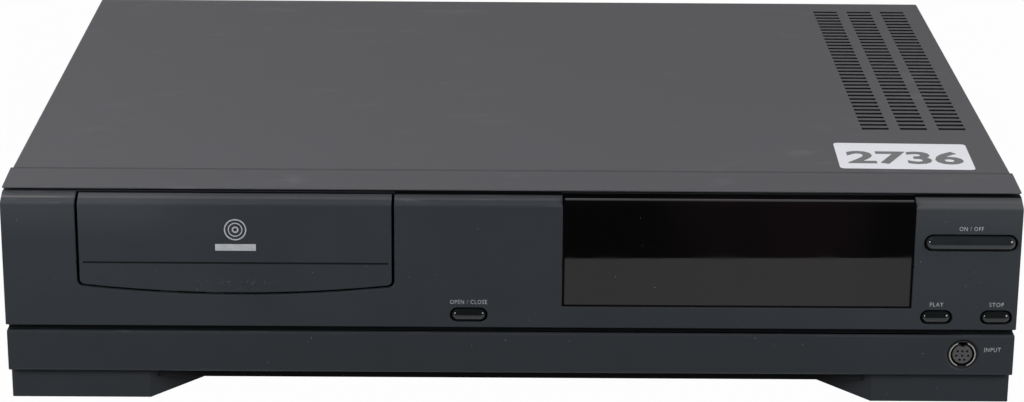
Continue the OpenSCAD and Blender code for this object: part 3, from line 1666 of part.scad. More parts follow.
placed() base_pan();
placed() rear_panel();
placed() top_cover();
placed() cover_screws();
placed() front_panel();
placed() lower_trim();
placed() top_trim();
placed() display_window();
placed() display_holder();
placed() display_tube();
placed() control_board();
placed() key_switches();
placed() open_button();
placed() play_button();
placed() stop_button();
placed() power_button();
placed() power_link();
placed() switch_plunger();
placed() mains_switch();
placed() front_feet();
placed() rear_feet();
placed() foot_pads();
placed() input_socket();
placed() input_ring();
placed() input_board();
placed() main_board();
placed() board_chips();
placed() power_board();
placed() transformer_core();
placed() transformer_coil();
placed() mains_inlet();
placed() inlet_pins();
placed() phono_housing();
placed() phono_barrels();
placed() multiway_socket();
placed() video_socket();
placed() socket_cores();
placed() cartridge_cover();
placed() loader_frame();
placed() disc_tray();
placed() tray_rack();
placed() tray_front();
placed() tray_gear();
placed() pulley_gear();
placed() drive_belt();
placed() loading_motor();
placed() motor_pulley();
placed() lift_cam();
placed() drive_chassis();
placed() damper_bushes();
placed() spindle_motor();
placed() turntable();
placed() clamp_bridge();
placed() clamper();
placed() pickup_sled();
placed() pickup_lens();
placed() guide_rods();
placed() sled_gear();
placed() sled_motor();
placed() sled_pinion();
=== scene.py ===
import json
import math
from typing import NamedTuple

import bmesh
import bpy
from mathutils import Matrix, Vector


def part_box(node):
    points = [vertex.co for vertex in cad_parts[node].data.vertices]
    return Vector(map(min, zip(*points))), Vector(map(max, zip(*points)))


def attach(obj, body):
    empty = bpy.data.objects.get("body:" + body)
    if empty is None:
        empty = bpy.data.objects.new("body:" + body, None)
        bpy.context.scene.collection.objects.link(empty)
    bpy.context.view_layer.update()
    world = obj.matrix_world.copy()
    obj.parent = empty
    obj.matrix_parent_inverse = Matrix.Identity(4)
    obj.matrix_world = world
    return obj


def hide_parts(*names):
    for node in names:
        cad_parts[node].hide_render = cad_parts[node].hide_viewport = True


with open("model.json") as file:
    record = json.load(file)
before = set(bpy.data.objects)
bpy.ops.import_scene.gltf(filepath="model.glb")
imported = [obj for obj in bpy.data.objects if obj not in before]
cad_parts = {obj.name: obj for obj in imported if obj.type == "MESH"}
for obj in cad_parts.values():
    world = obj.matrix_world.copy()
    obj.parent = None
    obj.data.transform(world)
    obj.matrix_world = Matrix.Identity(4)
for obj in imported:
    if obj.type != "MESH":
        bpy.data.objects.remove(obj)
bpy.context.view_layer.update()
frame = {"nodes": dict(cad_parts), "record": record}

# Frame and lengths: places are in millimetres, x from the middle, y back from the front face,
# z up from the floor. FRONT_Y alone is in metres, as the frame gives it.
MM = 0.001
FRONT_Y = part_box("front_panel")[0].y
TOP_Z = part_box("top_cover")[1].z / MM
record = frame["record"]
nodes = frame["nodes"]
body_of = {n: b for b, names in record["behaviour"]["bodies"].items() for n in names}
slot_of = {s["node"]: s["material_slot"] for s in record["subparts"]}
scene = bpy.context.scene


def at(x, y, z):
    """Point of the frame, in metres."""
    return Vector((x * MM, FRONT_Y + y * MM, z * MM))


def box_mm(node):
    """Lowest and highest corner of a node, in millimetres, y from the front face."""
    low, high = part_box(node)
    shift = Vector((0, FRONT_Y, 0))
    return (low - shift) / MM, (high - shift) / MM


def middle_mm(node):
    low, high = box_mm(node)
    return (low + high) / 2


# Camera, as fitted to the corners of the case in the photograph
PHOTO_WIDTH_PX = 1024
FOCAL_PX = 2855
SENSOR_MM = 36
CAMERA_PLACE = at(-8.03, -1112.4, 458.2)
CAMERA_PITCH = 0.32007
CAMERA_YAW = 0.00705
CAMERA_ROLL = 0.00811
NEAREST_MM = 10


def make_camera():
    forward = Vector((math.sin(CAMERA_YAW) * math.cos(CAMERA_PITCH),
                      math.cos(CAMERA_YAW) * math.cos(CAMERA_PITCH),
                      -math.sin(CAMERA_PITCH)))
    level_right = Vector((math.cos(CAMERA_YAW), -math.sin(CAMERA_YAW), 0))
    level_up = level_right.cross(forward)
    right = math.cos(CAMERA_ROLL) * level_right + math.sin(CAMERA_ROLL) * level_up
    up = math.cos(CAMERA_ROLL) * level_up - math.sin(CAMERA_ROLL) * level_right
    turn = Matrix((right, up, -forward)).transposed().to_4x4()
    data = bpy.data.cameras.new("camera")
    data.sensor_fit = "HORIZONTAL"
    data.sensor_width = SENSOR_MM
    data.lens = FOCAL_PX / PHOTO_WIDTH_PX * SENSOR_MM
    data.clip_start = NEAREST_MM * MM
    data.dof.use_dof = False
    camera = bpy.data.objects.new("camera", data)
    camera.matrix_world = Matrix.Translation(CAMERA_PLACE) @ turn
    scene.collection.objects.link(camera)
    scene.camera = camera


# Node trees: the Mix node's sockets for colours, since it has others of the same names
MIX_FACTOR = 0
MIX_A = 6
MIX_B = 7
MIX_RESULT = 2
# Share of a speck's radius that has its full colour
SPECK_CORE = 0.6
# How far the rounded normal agrees with the plain one, where an edge begins and where it is full
EDGE_BEGINS = 0.98
EDGE_FULL = 0.8
EDGE_SAMPLES = 4
# Range along an axis without limits
OPEN = (None, None)


class Shader:
    """Small helper that adds nodes to a material and links them."""

    def __init__(self, name):
        self.material = bpy.data.materials.new(name)
        self.material.use_nodes = True
        self.tree = self.material.node_tree
        self.bsdf = self.tree.nodes["Principled BSDF"]
        self.out = self.tree.nodes["Material Output"]
        self.place = self.add("ShaderNodeTexCoord").outputs["Object"]

    def add(self, kind, **settings):
        node = self.tree.nodes.new(kind)
        for key, value in settings.items():
            setattr(node, key, value)
        return node

    def link(self, source, target):
        self.tree.links.new(source, target)

    def feed(self, socket, value):
        if isinstance(value, bpy.types.NodeSocket):
            self.link(value, socket)
        else:
            socket.default_value = value

    def stretch(self, scale):
        """Object coordinates stretched along the axes."""
        node = self.add("ShaderNodeMapping")
        self.link(self.place, node.inputs["Vector"])
        node.inputs["Scale"].default_value = scale
        return node.outputs["Vector"]

    def noise(self, size_mm, detail=2.0, place=None):
        node = self.add("ShaderNodeTexNoise")
        self.link(place or self.place, node.inputs["Vector"])
        node.inputs["Scale"].default_value = 1 / (size_mm * MM)
        node.inputs["Detail"].default_value = detail
        return node.outputs["Fac"]

    def remap(self, value, low, high, to_low, to_high, smooth=False):
        node = self.add("ShaderNodeMapRange",
                        interpolation_type="SMOOTHSTEP" if smooth else "LINEAR")
        self.link(value, node.inputs["Value"])
        node.inputs["From Min"].default_value = low
        node.inputs["From Max"].default_value = high
        node.inputs["To Min"].default_value = to_low
        node.inputs["To Max"].default_value = to_high
        return node.outputs["Result"]

    def math(self, operation, a, b):
        node = self.add("ShaderNodeMath", operation=operation)
        self.feed(node.inputs[0], a)
        self.feed(node.inputs[1], b)
        return node.outputs["Value"]

    def mix(self, factor, a, b):
        node = self.add("ShaderNodeMix", data_type="RGBA")
        self.feed(node.inputs[MIX_FACTOR], factor)
        self.feed(node.inputs[MIX_A], a)
        self.feed(node.inputs[MIX_B], b)
        return node.outputs[MIX_RESULT]

    def scaled(self, colour, factor):
        """Colour times one factor, or one for each of red, green and blue."""
        node = self.add("ShaderNodeVectorMath", operation="MULTIPLY")
        self.link(colour, node.inputs[0])
        node.inputs[1].default_value = factor if isinstance(factor, tuple) else (factor,) * 3
        return node.outputs[0]

    def axis(self, name):
        node = self.add("ShaderNodeSeparateXYZ")
        self.link(self.place, node.inputs["Vector"])
        return node.outputs[name]

    def specks(self, cell_mm, speck_mm):
        """Small dots scattered over the surface."""
        node = self.add("ShaderNodeTexVoronoi", feature="F1")
        self.link(self.place, node.inputs["Vector"])
        node.inputs["Scale"].default_value = 1 / (cell_mm * MM)
        radius = speck_mm / cell_mm
        return self.remap(node.outputs["Distance"], radius * SPECK_CORE, radius, 1, 0)

    def edges(self, radius_mm):
        """1 along the edges of the form, 0 on its faces."""
        rounded = self.add("ShaderNodeBevel", samples=EDGE_SAMPLES)
        rounded.inputs["Radius"].default_value = radius_mm * MM
        plain = self.add("ShaderNodeNewGeometry")
        same = self.add("ShaderNodeVectorMath", operation="DOT_PRODUCT")
        self.link(rounded.outputs["Normal"], same.inputs[0])
        self.link(plain.outputs["Normal"], same.inputs[1])
        return self.remap(same.outputs["Value"], EDGE_BEGINS, EDGE_FULL, 0, 1)

    def facing_up(self, low, high):
        """0 where the surface's normal rises less than low, 1 where it rises more than high."""
        plain = self.add("ShaderNodeNewGeometry")
        parts = self.add("ShaderNodeSeparateXYZ")
        self.link(plain.outputs["Normal"], parts.inputs["Vector"])
        return self.remap(parts.outputs["Z"], low, high, 0, 1, smooth=True)

    def inside(self, fade_mm, x=OPEN, y=OPEN, z=OPEN):
        """1 within a range along each axis, in millimetres, fading to 0 outside it.

        None leaves a side open. The fade is one length, or one for each axis.
        """
        fades = fade_mm if isinstance(fade_mm, tuple) else (fade_mm,) * 3
        value = 1.0
        for axis, shift, (start, end), fade in zip("XYZ", (0, FRONT_Y, 0), (x, y, z), fades):
            place = self.axis(axis)
            if start is not None:
                first = shift + (start - fade) * MM
                rise = self.remap(place, first, shift + start * MM, 0, 1, smooth=True)
                value = self.math("MULTIPLY", value, rise)
            if end is not None:
                last = shift + (end + fade) * MM
                fall = self.remap(place, shift + end * MM, last, 1, 0, smooth=True)
                value = self.math("MULTIPLY", value, fall)
        return value

    def relief(self, height, strength, depth_mm):
        """Bumps on the surface."""
        node = self.add("ShaderNodeBump")
        node.inputs["Strength"].default_value = strength
        node.inputs["Distance"].default_value = depth_mm * MM
        self.link(height, node.inputs["Height"])
        self.link(node.outputs["Normal"], self.bsdf.inputs["Normal"])


# Places with painted light or shade: a factor on the colour over a range
class PaintedLightPlace(NamedTuple):
    """Factor on the colour, fade outside the place, and the place's range along each axis."""
    factor: float | tuple
    fade_mm: float | tuple
    x: tuple = OPEN
    y: tuple = OPEN
    z: tuple = OPEN


# Edges of the pieces that these places follow
PANEL_LOW = box_mm("front_panel")[0].z
BAND_TOP = PANEL_LOW - 2.5
BAND_LOW = box_mm("lower_trim")[0].z
FLAP_LEFT = box_mm("tray_front")[0].x
FLAP_LINE = box_mm("tray_front")[0].z + 12.9
STRIP_BACK = box_mm("top_trim")[1].y
COVER_HALF = box_mm("top_cover")[1].x
WINDOW_RIGHT = box_mm("display_window")[1].x
SLOPE_LOW = TOP_Z - 5.6
SLOPE_BACK = 7.5
FOOT_END = 148.5
ON_SLOPE = (SLOPE_LOW, None)
BESIDE_WINDOW = (WINDOW_RIGHT, None)

# Painted highlight on the upper part of the front's slope, and a painted highlight line along the slope,
# stronger at the left end, where it is also a pale scuff
HIGHLIGHT_LINE_Y = (3.7, 4.1)
SLOPE_TOP_HIGHLIGHT = PaintedLightPlace((1.6, 1.51, 1.46), 0.8, y=(3.6, SLOPE_BACK), z=ON_SLOPE)
SLOPE_LINE_HIGHLIGHT = PaintedLightPlace(1.14, 0.5, y=HIGHLIGHT_LINE_Y, z=ON_SLOPE)
LEFT_SCUFF_AND_HIGHLIGHT = PaintedLightPlace((1.6, 1.5, 1.4), (14, 0.5, 1), x=(None, -192), y=HIGHLIGHT_LINE_Y, z=ON_SLOPE)
# Painted light on the upper ends of the front, and on the lower part of its slope beside the window
LEFT_END_LIGHT = PaintedLightPlace((1.34, 1.3, 1.28), (55, 1, 18), x=(None, -165), y=(None, SLOPE_BACK), z=ON_SLOPE)
RIGHT_END_LIGHT = PaintedLightPlace((1.33, 1.3, 1.26), (5, 1, 18), x=BESIDE_WINDOW, y=(None, SLOPE_BACK), z=ON_SLOPE)
RIGHT_SLOPE_LIGHT = PaintedLightPlace((1.52, 1.42, 1.34), (5, 0.6, 1), x=BESIDE_WINDOW, y=(0.5, 3), z=ON_SLOPE)
# Painted shade under the strip, along its joint with the cover, in the groove and in the tray front's line
UNDER_STRIP_SHADE = PaintedLightPlace(0.1, 0.3, x=(FLAP_LEFT, None), y=(6.5, 9), z=ON_SLOPE)
STRIP_JOINT_SHADE = PaintedLightPlace(0.66, 0.8, y=(STRIP_BACK - 1.2, STRIP_BACK + 2))
GROOVE_SHADE = PaintedLightPlace(0.18, 2.2, y=(2.6, 8), z=(BAND_TOP - 0.5, PANEL_LOW + 0.5))
TRAY_LINE_SHADE = PaintedLightPlace(0.25, 0.04, y=(0.06, 1), z=(FLAP_LINE - 0.5, FLAP_LINE + 0.5))
# Painted shade on the lower band and feet, and a painted highlight on the band's lower edge
LOWER_FRONT_SHADE = PaintedLightPlace(0.9, 1, z=(None, BAND_TOP))
BAND_EDGE_HIGHLIGHT = PaintedLightPlace(1.7, 0.4, y=(None, 1.5), z=(BAND_LOW, BAND_LOW + 0.7))
# Painted shade on the walls of the cover's slots
SLOT_WALL_SHADE = PaintedLightPlace(0.12, 0.1, x=(3 - COVER_HALF, COVER_HALF - 3), y=(STRIP_BACK + 5, None),
                   z=(TOP_Z - 1.5, TOP_Z - 0.15))
# Painted light on the pan's lip beside the feet, paler towards them, standing for the feet's faces running
# back into shade
LIP_STRETCH = 16.5
LIP_SPANS = ((-FOOT_END - LIP_STRETCH, -FOOT_END), (FOOT_END, FOOT_END + LIP_STRETCH))
PAN_LIP_LIGHT = [PaintedLightPlace(5.5, (22, 0.5, 1), x=span, y=(None, 9)) for span in LIP_SPANS]

# Surface: range of the noise that mottles it, range that makes it rough, how far the roughness
# wanders, and the depth of the relief as a share of its grain
MOTTLE_RANGE = (0.3, 0.7)
ROUGH_RANGE = (0.25, 0.75)
ROUGH_SPREAD = 0.05
GRAIN_DEPTH = 0.3
COAT_ROUGH = 0.08


def tone(colour, factor):
    return (*[min(1.0, c * factor) for c in colour], 1.0)


# Wear: each mark has a size in millimetres, a range of noise over which it comes in, and a number
# that says how many times paler than the surface it is, or a colour
STREAK_MM = 1.2
STREAK_STRETCH = (0.02, 1, 1)
STREAK_RANGE = (0.35, 0.75)
STREAK_PALER = 1.6


def streaks(s, shade, colour, amount):
    """Pale streaks along x."""
    along = s.noise(STREAK_MM, detail=3.0, place=s.stretch(STREAK_STRETCH))
    return s.mix(s.remap(along, *STREAK_RANGE, 0, amount), shade, tone(colour, STREAK_PALER))


# Edges: pale wear, with a painted highlight kept to the edges that face up
EDGE_MM = 0.5
EDGE_RISE = (0.05, 0.45)
EDGE_PATCH_MM = 9
EDGE_PATCH_RANGE = (0.42, 0.68)
EDGE_LEAST = 0.4
EDGE_PALER = 2.6


def worn_and_lit_edges(s, shade, colour, amount):
    """Pale wear and a painted highlight on the upper edges, in patches."""
    patchy = s.remap(s.noise(EDGE_PATCH_MM, detail=5.0), *EDGE_PATCH_RANGE, EDGE_LEAST, 1)
    upper = s.math("MULTIPLY", s.edges(EDGE_MM), s.facing_up(*EDGE_RISE))
    edge = s.math("MULTIPLY", upper, s.math("MULTIPLY", patchy, amount))
    return s.mix(edge, shade, tone(colour, EDGE_PALER))


SCUFF_MM = 2.2
SCUFF_STRETCH = (0.08, 1, 1)
SCUFF_RANGE = (0.56, 0.74)
SCUFF_RISE = (0.35, 0.8)
SCUFF_PATCH_MM = 26
SCUFF_PATCH_RANGE = (0.45, 0.65)
SCUFF_PALER = 4.5


def rubbed_slopes(s, shade, colour, amount):
    """Pale scuffs on surfaces that face up, in patches."""
    scuff = s.noise(SCUFF_MM, detail=4.0, place=s.stretch(SCUFF_STRETCH))
    patch = s.remap(s.noise(SCUFF_PATCH_MM, detail=2.0), *SCUFF_PATCH_RANGE, 0, 1)
    rub = s.math("MULTIPLY", s.remap(scuff, *SCUFF_RANGE, 0, amount), s.facing_up(*SCUFF_RISE))
    return s.mix(s.math("MULTIPLY", rub, patch), shade, tone(colour, SCUFF_PALER))


GRIT_MM = 0.9
GRIT_RANGE = (0.6, 0.72)
GRIT_X = (-130, -99)
GRIT_Y = (None, 2)
GRIT_Z = (51.3, 53.3)
GRIT_FADE_MM = 2.5
GRIT_COLOUR = (0.3, 0.31, 0.32, 1)


def gritty_flap(s, shade, amount):
    """Pale specks low on the tray front."""
    grit = s.remap(s.noise(GRIT_MM, detail=3.0), *GRIT_RANGE, 0, amount)
    low_on_flap = s.inside(GRIT_FADE_MM, GRIT_X, GRIT_Y, GRIT_Z)
    return s.mix(s.math("MULTIPLY", grit, low_on_flap), shade, GRIT_COLOUR)


SMEAR_MM = 10
SMEAR_STRETCH = (0.6, 1, 1)
SMEAR_RANGE = (0.52, 0.7)
SMEAR_PATCH_MM = 42
SMEAR_PATCH_RANGE = (0.58, 0.7)
SMEAR_PALER = 1.7


def smudges(s, shade, colour, amount):
    """Pale smears, in patches."""
    smear = s.noise(SMEAR_MM, detail=5.0, place=s.stretch(SMEAR_STRETCH))
    patch = s.remap(s.noise(SMEAR_PATCH_MM, detail=1.0), *SMEAR_PATCH_RANGE, 0, 1)
    mark = s.math("MULTIPLY", s.remap(smear, *SMEAR_RANGE, 0, amount), patch)
    return s.mix(mark, shade, tone(colour, SMEAR_PALER))


# Dust: width of a cell that holds one speck, and the speck's radius
DUST_SIZES = ((6.5, 0.24), (2.9, 0.1))
DUST_COLOUR = (0.42, 0.43, 0.45, 1)


def dusty(s, shade, amount, sizes=DUST_SIZES, colour=DUST_COLOUR):
    """Specks of dust in two sizes."""
    dots = s.math("MAXIMUM", *[s.specks(cell_mm, speck_mm) for cell_mm, speck_mm in sizes])
    return s.mix(s.math("MULTIPLY", dots, amount), shade, colour)


def finish(name, colour, rough, metal=0.0, gloss=0.5, grain_mm=0.6, grain=0.12, mottle=0.08,
           mottle_mm=35, dust=0.0, edge_wear_and_highlight=0.0, coat=0.0, streak=0.0, rubbed=0.0, smudged=0.0,
           specked=0.0, painted_light=()):
    """Surface with mottled colour, uneven roughness and fine relief, wear where asked, and painted light
    and shade over the places given.

    dust, the edge wear, streak, rubbed, smudged and specked are amounts of wear, from 0 to 1; the edge
    wear also paints highlights on upward edges.
    """
    s = Shader(name)
    cloudy = s.noise(mottle_mm, detail=4.0)
    shade = s.mix(s.remap(cloudy, *MOTTLE_RANGE, 0, 1), tone(colour, 1 - mottle), tone(colour, 1 + mottle))
    if streak:
        shade = streaks(s, shade, colour, streak)
    if edge_wear_and_highlight:
        shade = worn_and_lit_edges(s, shade, colour, edge_wear_and_highlight)
    if rubbed:
        shade = rubbed_slopes(s, shade, colour, rubbed)
    if specked:
        shade = gritty_flap(s, shade, specked)
    if smudged:
        shade = smudges(s, shade, colour, smudged)
    # Painted light and shade over the places given
    for painted_place in painted_light:
        place = s.inside(painted_place.fade_mm, painted_place.x, painted_place.y, painted_place.z)
        shade = s.mix(place, shade, s.scaled(shade, painted_place.factor))
    if dust:
        shade = dusty(s, shade, dust)
    s.link(shade, s.bsdf.inputs["Base Color"])
    uneven = s.remap(cloudy, *ROUGH_RANGE, rough - ROUGH_SPREAD, rough + ROUGH_SPREAD)
    s.link(uneven, s.bsdf.inputs["Roughness"])
    s.bsdf.inputs["Metallic"].default_value = metal
    s.bsdf.inputs["Specular IOR Level"].default_value = gloss
    s.bsdf.inputs["Coat Weight"].default_value = coat
    s.bsdf.inputs["Coat Roughness"].default_value = COAT_ROUGH
    s.relief(s.noise(grain_mm, detail=2.0), grain, grain_mm * GRAIN_DEPTH)
    return s.material


# Window: its black, the display's red behind it, and where the red comes and goes from each end
WINDOW_BLACK = (0.0026, 0.0026, 0.0026, 1)
WINDOW_RED = (0.0068, 0.0047, 0.0057, 1)
RED_FROM_LEFT = (25, 70)
RED_FROM_RIGHT = (30, 8)
RED_PATCH_MM = 30
RED_PATCH_LEAST = 0.5
WINDOW_SMEAR_MM = 18
WINDOW_SMEAR_RANGE = (0.35, 0.75)
WINDOW_ROUGH = (0.015, 0.05)
WINDOW_DUST = 0.35
WINDOW_DUST_SIZES = ((7.5, 0.26), (3.2, 0.1))
WINDOW_DUST_COLOUR = (0.4, 0.4, 0.42, 1)
WINDOW_EDGE = 0.8
WINDOW_EDGE_FADE = 0.3
WINDOW_EDGE_GLOSS = 0.02
WINDOW_FACE_GLOSS = 0.36
WINDOW_WAVE_MM = 12
WINDOW_WAVE_DEPTH = 0.2
WINDOW_WAVE = 0.02


def smoked_window():
    """Polished smoked plastic with dull edges and the display's faint red behind part of it."""
    low, high = box_mm("display_window")
    s = Shader("window_smoke")
    across = s.axis("X")
    left_start, left_end = [(low.x + inset) * MM for inset in RED_FROM_LEFT]
    right_start, right_end = [(high.x - inset) * MM for inset in RED_FROM_RIGHT]
    fade_in = s.remap(across, left_start, left_end, 0, 1, smooth=True)
    fade_out = s.remap(across, right_start, right_end, 1, 0, smooth=True)
    cloudy = s.remap(s.noise(RED_PATCH_MM, detail=3.0), *MOTTLE_RANGE, RED_PATCH_LEAST, 1)
    glow = s.math("MULTIPLY", s.math("MULTIPLY", fade_in, fade_out), cloudy)
    shade = s.mix(glow, WINDOW_BLACK, WINDOW_RED)
    shade = dusty(s, shade, WINDOW_DUST, WINDOW_DUST_SIZES, WINDOW_DUST_COLOUR)
    s.link(shade, s.bsdf.inputs["Base Color"])
    rough = s.remap(s.noise(WINDOW_SMEAR_MM, detail=4.0), *WINDOW_SMEAR_RANGE, *WINDOW_ROUGH)
    s.link(rough, s.bsdf.inputs["Roughness"])
    face = s.inside(WINDOW_EDGE_FADE, x=(low.x + WINDOW_EDGE, high.x - WINDOW_EDGE),
                    z=(low.z + WINDOW_EDGE, None))
    gloss = s.remap(face, 0, 1, WINDOW_EDGE_GLOSS, WINDOW_FACE_GLOSS)
    s.link(gloss, s.bsdf.inputs["Specular IOR Level"])
    s.relief(s.noise(WINDOW_WAVE_MM, detail=1.0), WINDOW_WAVE, WINDOW_WAVE_DEPTH)
    return s.material


FRONT_GREY = (0.0365, 0.0405, 0.0462)
COVER_GREY = (0.1015, 0.0972, 0.105)
STRIP_GREY = (0.0935, 0.0925, 0.1)
INK_GREY = (0.46, 0.46, 0.49)

MATERIALS = {
    "cover_paint": finish("cover_paint", COVER_GREY, 0.6, gloss=0.05, grain_mm=0.5, grain=0.15,
                          mottle=0.06, mottle_mm=60, dust=0.1, edge_wear_and_highlight=0.15, smudged=0.35,
                          painted_light=[SLOT_WALL_SHADE]),
    # Pan: near black, as painted shade for its front edge, which lies under the band
    "pan_steel": finish("pan_steel", (0.006, 0.006, 0.0066), 0.6, gloss=0.05, mottle=0.1, painted_light=PAN_LIP_LIGHT),
    "screw_steel": finish("screw_steel", (0.12, 0.12, 0.125), 0.35, metal=1.0, mottle=0.15, mottle_mm=2),
    "front_plastic": finish("front_plastic", FRONT_GREY, 0.55, gloss=0.07, grain_mm=0.35, grain=0.2,
                            mottle=0.05, dust=0.45, edge_wear_and_highlight=1.0, rubbed=0.5, specked=0.2,
                            painted_light=[SLOPE_TOP_HIGHLIGHT, SLOPE_LINE_HIGHLIGHT, LEFT_SCUFF_AND_HIGHLIGHT, LEFT_END_LIGHT, RIGHT_END_LIGHT, RIGHT_SLOPE_LIGHT,
                                    UNDER_STRIP_SHADE, LOWER_FRONT_SHADE, GROOVE_SHADE, TRAY_LINE_SHADE, BAND_EDGE_HIGHLIGHT]),
    "trim_plastic": finish("trim_plastic", STRIP_GREY, 0.58, gloss=0.05, grain_mm=0.4, grain=0.15,
                           mottle=0.05, mottle_mm=45, dust=0.3, edge_wear_and_highlight=0.9, smudged=0.5,
                           painted_light=[STRIP_JOINT_SHADE]),
    "window_smoke": smoked_window(),
    "key_plastic": finish("key_plastic", (0.009, 0.0105, 0.0113), 0.075, gloss=0.42, grain=0.03,
                          mottle=0.1, mottle_mm=12, dust=0.3),
    "black_plastic": finish("black_plastic", (0.015, 0.015, 0.016), 0.5, gloss=0.35),
    "display_glass": finish("display_glass", (0.03, 0.036, 0.036), 0.1, grain=0.02),
    "board_green": finish("board_green", (0.01, 0.07, 0.03), 0.4, mottle=0.2, mottle_mm=6),
    "board_tan": finish("board_tan", (0.35, 0.24, 0.12), 0.6, mottle=0.15, mottle_mm=5),
    "rubber_black": finish("rubber_black", (0.012, 0.012, 0.012), 0.8, gloss=0.2, grain=0.3),
    "socket_grey": finish("socket_grey", (0.05, 0.05, 0.052), 0.4, mottle=0.1, mottle_mm=4),
    "bright_metal": finish("bright_metal", (0.62, 0.61, 0.58), 0.28, metal=1.0, grain=0.05, mottle_mm=5),
    "core_steel": finish("core_steel", (0.1, 0.095, 0.09), 0.5, metal=0.6, mottle=0.2, mottle_mm=6),
    "coil_copper": finish("coil_copper", (0.3, 0.12, 0.04), 0.45, metal=0.4, streak=0.4),
    "link_white": finish("link_white", (0.62, 0.6, 0.54), 0.45, mottle=0.05),
    "tray_plastic": finish("tray_plastic", (0.03, 0.031, 0.033), 0.5, gloss=0.35, grain=0.2, dust=0.2),
    "gear_white": finish("gear_white", (0.7, 0.68, 0.63), 0.35, mottle=0.05),
    "motor_steel": finish("motor_steel", (0.5, 0.5, 0.51), 0.35, metal=1.0, mottle=0.12, mottle_mm=8),
    "brass_parts": finish("brass_parts", (0.6, 0.42, 0.15), 0.3, metal=1.0, mottle=0.1, mottle_mm=4),
    "chassis_metal": finish("chassis_metal", (0.45, 0.45, 0.46), 0.45, metal=1.0, grain=0.25, mottle=0.1),
    "lens_glass": finish("lens_glass", (0.1, 0.14, 0.25), 0.06, coat=1.0, grain=0.01, mottle=0.2,
                         mottle_mm=3),
}
# Nodes with a finish other than their slot's
OWN_FINISH = {
    "cartridge_cover": finish("plate_paint", (0.055, 0.055, 0.058), 0.45, gloss=0.25, grain_mm=0.5,
                              grain=0.2, mottle=0.08, edge_wear_and_highlight=0.8, dust=0.2),
    "power_button": finish("power_key_plastic", (0.018, 0.0203, 0.0228), 0.08, gloss=0.42, grain=0.03,
                           mottle=0.1, mottle_mm=12, dust=0.3),
    "input_ring": finish("ring_metal", (0.34, 0.33, 0.31), 0.35, metal=1.0, grain=0.05, mottle_mm=5),
}
INK = finish("legend_ink", INK_GREY, 0.6, gloss=0.2, grain_mm=0.3, grain=0.1, mottle=0.12, mottle_mm=3)
LABEL_PAPER = finish("label_paper", (0.87, 0.86, 0.9), 0.55, gloss=0.2, grain_mm=0.4, mottle=0.03)
LABEL_INK = finish("label_ink", (0.12, 0.12, 0.125), 0.5, gloss=0.3, mottle=0.1, mottle_mm=8)

# Material, body and slot of what is printed or stuck on
CASE_PRINT = (INK, "case", "link_white")
TRAY_PRINT = (INK, "tray", "link_white")
LABEL_SHEET = (LABEL_PAPER, "case", "link_white")
LABEL_PRINT = (LABEL_INK, "case", "black_plastic")
# Thickness of ink and label, and how deep they sit in the face below, so that no gap shows
INK_T = 0.05
INK_SINK = 0.02

# How meshes are made: lengths below which points are one, angles in degrees, steps of round forms
WELD_MM = 0.002
LETTER_WELD_MM = 0.0005
CUT_MM = 0.001
FLAT_DEGREES = 0.5
SHARP_DEGREES = 35
SMOOTH_DEGREES = 40
ROUNDING_STEPS = 2
CORNER_STEPS = 5
RING_STEPS = 64
LETTER_STEPS = 3
ROUND_PROFILE = 0.5
# Depth of letters in the font's own units, which is then scaled to the ink's thickness
LETTER_DEPTH = 0.5


# Pieces
def add_piece(name, mesh, material, body, slot):
    mesh.materials.clear()
    mesh.materials.append(material)
    piece = bpy.data.objects.new(name, mesh)
    scene.collection.objects.link(piece)
    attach(piece, body)
    return piece


def add_shape(name, shape, kind):
    """Piece made from a closed bmesh; kind holds its material, body and slot."""
    bmesh.ops.recalc_face_normals(shape, faces=shape.faces)
    mesh = bpy.data.meshes.new(name)
    shape.to_mesh(mesh)
    shape.free()
    add_piece(name, mesh, *kind)


def cut_across(shape, x):
    """Split the faces at a place across, with seams that keep them apart."""
    split = bmesh.ops.bisect_plane(shape, geom=[*shape.verts, *shape.edges, *shape.faces],
                                   dist=CUT_MM * MM, plane_co=at(x, 0, 0), plane_no=(1, 0, 0))
    for part in split["geom_cut"]:
        if isinstance(part, bmesh.types.BMEdge):
            part.seam = True


def rounded(node, radius_mm, cuts):
    """The node's own form with its sharp edges rounded, standing for the node.

    Faces are split at the places across that cuts gives, so that none goes round a hole.
    """
    shape = bmesh.new()
    shape.from_mesh(nodes[node].data)
    bmesh.ops.remove_doubles(shape, verts=shape.verts, dist=WELD_MM * MM)
    for x in cuts:
        cut_across(shape, x)
    bmesh.ops.dissolve_limit(shape, angle_limit=math.radians(FLAT_DEGREES), verts=shape.verts,
                             edges=shape.edges, delimit={"SEAM"})
    sharp = [e for e in shape.edges
             if len(e.link_faces) == 2 and e.calc_face_angle() > math.radians(SHARP_DEGREES)]
    bmesh.ops.bevel(shape, geom=sharp, offset=radius_mm * MM, offset_type="OFFSET",
                    segments=ROUNDING_STEPS, profile=ROUND_PROFILE, affect="EDGES",
                    clamp_overlap=False, loop_slide=True)
    mesh = bpy.data.meshes.new(node + "_rounded")
    shape.to_mesh(mesh)
    shape.free()
    for polygon in mesh.polygons:
        polygon.use_smooth = True
    mesh.set_sharp_from_angle(angle=math.radians(SMOOTH_DEGREES))
    piece = add_piece(node + "_rounded", mesh, MATERIALS[slot_of[node]], body_of[node], slot_of[node])
    even = piece.modifiers.new("even_normals", "WEIGHTED_NORMAL")
    even.keep_sharp = True
    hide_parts(node)


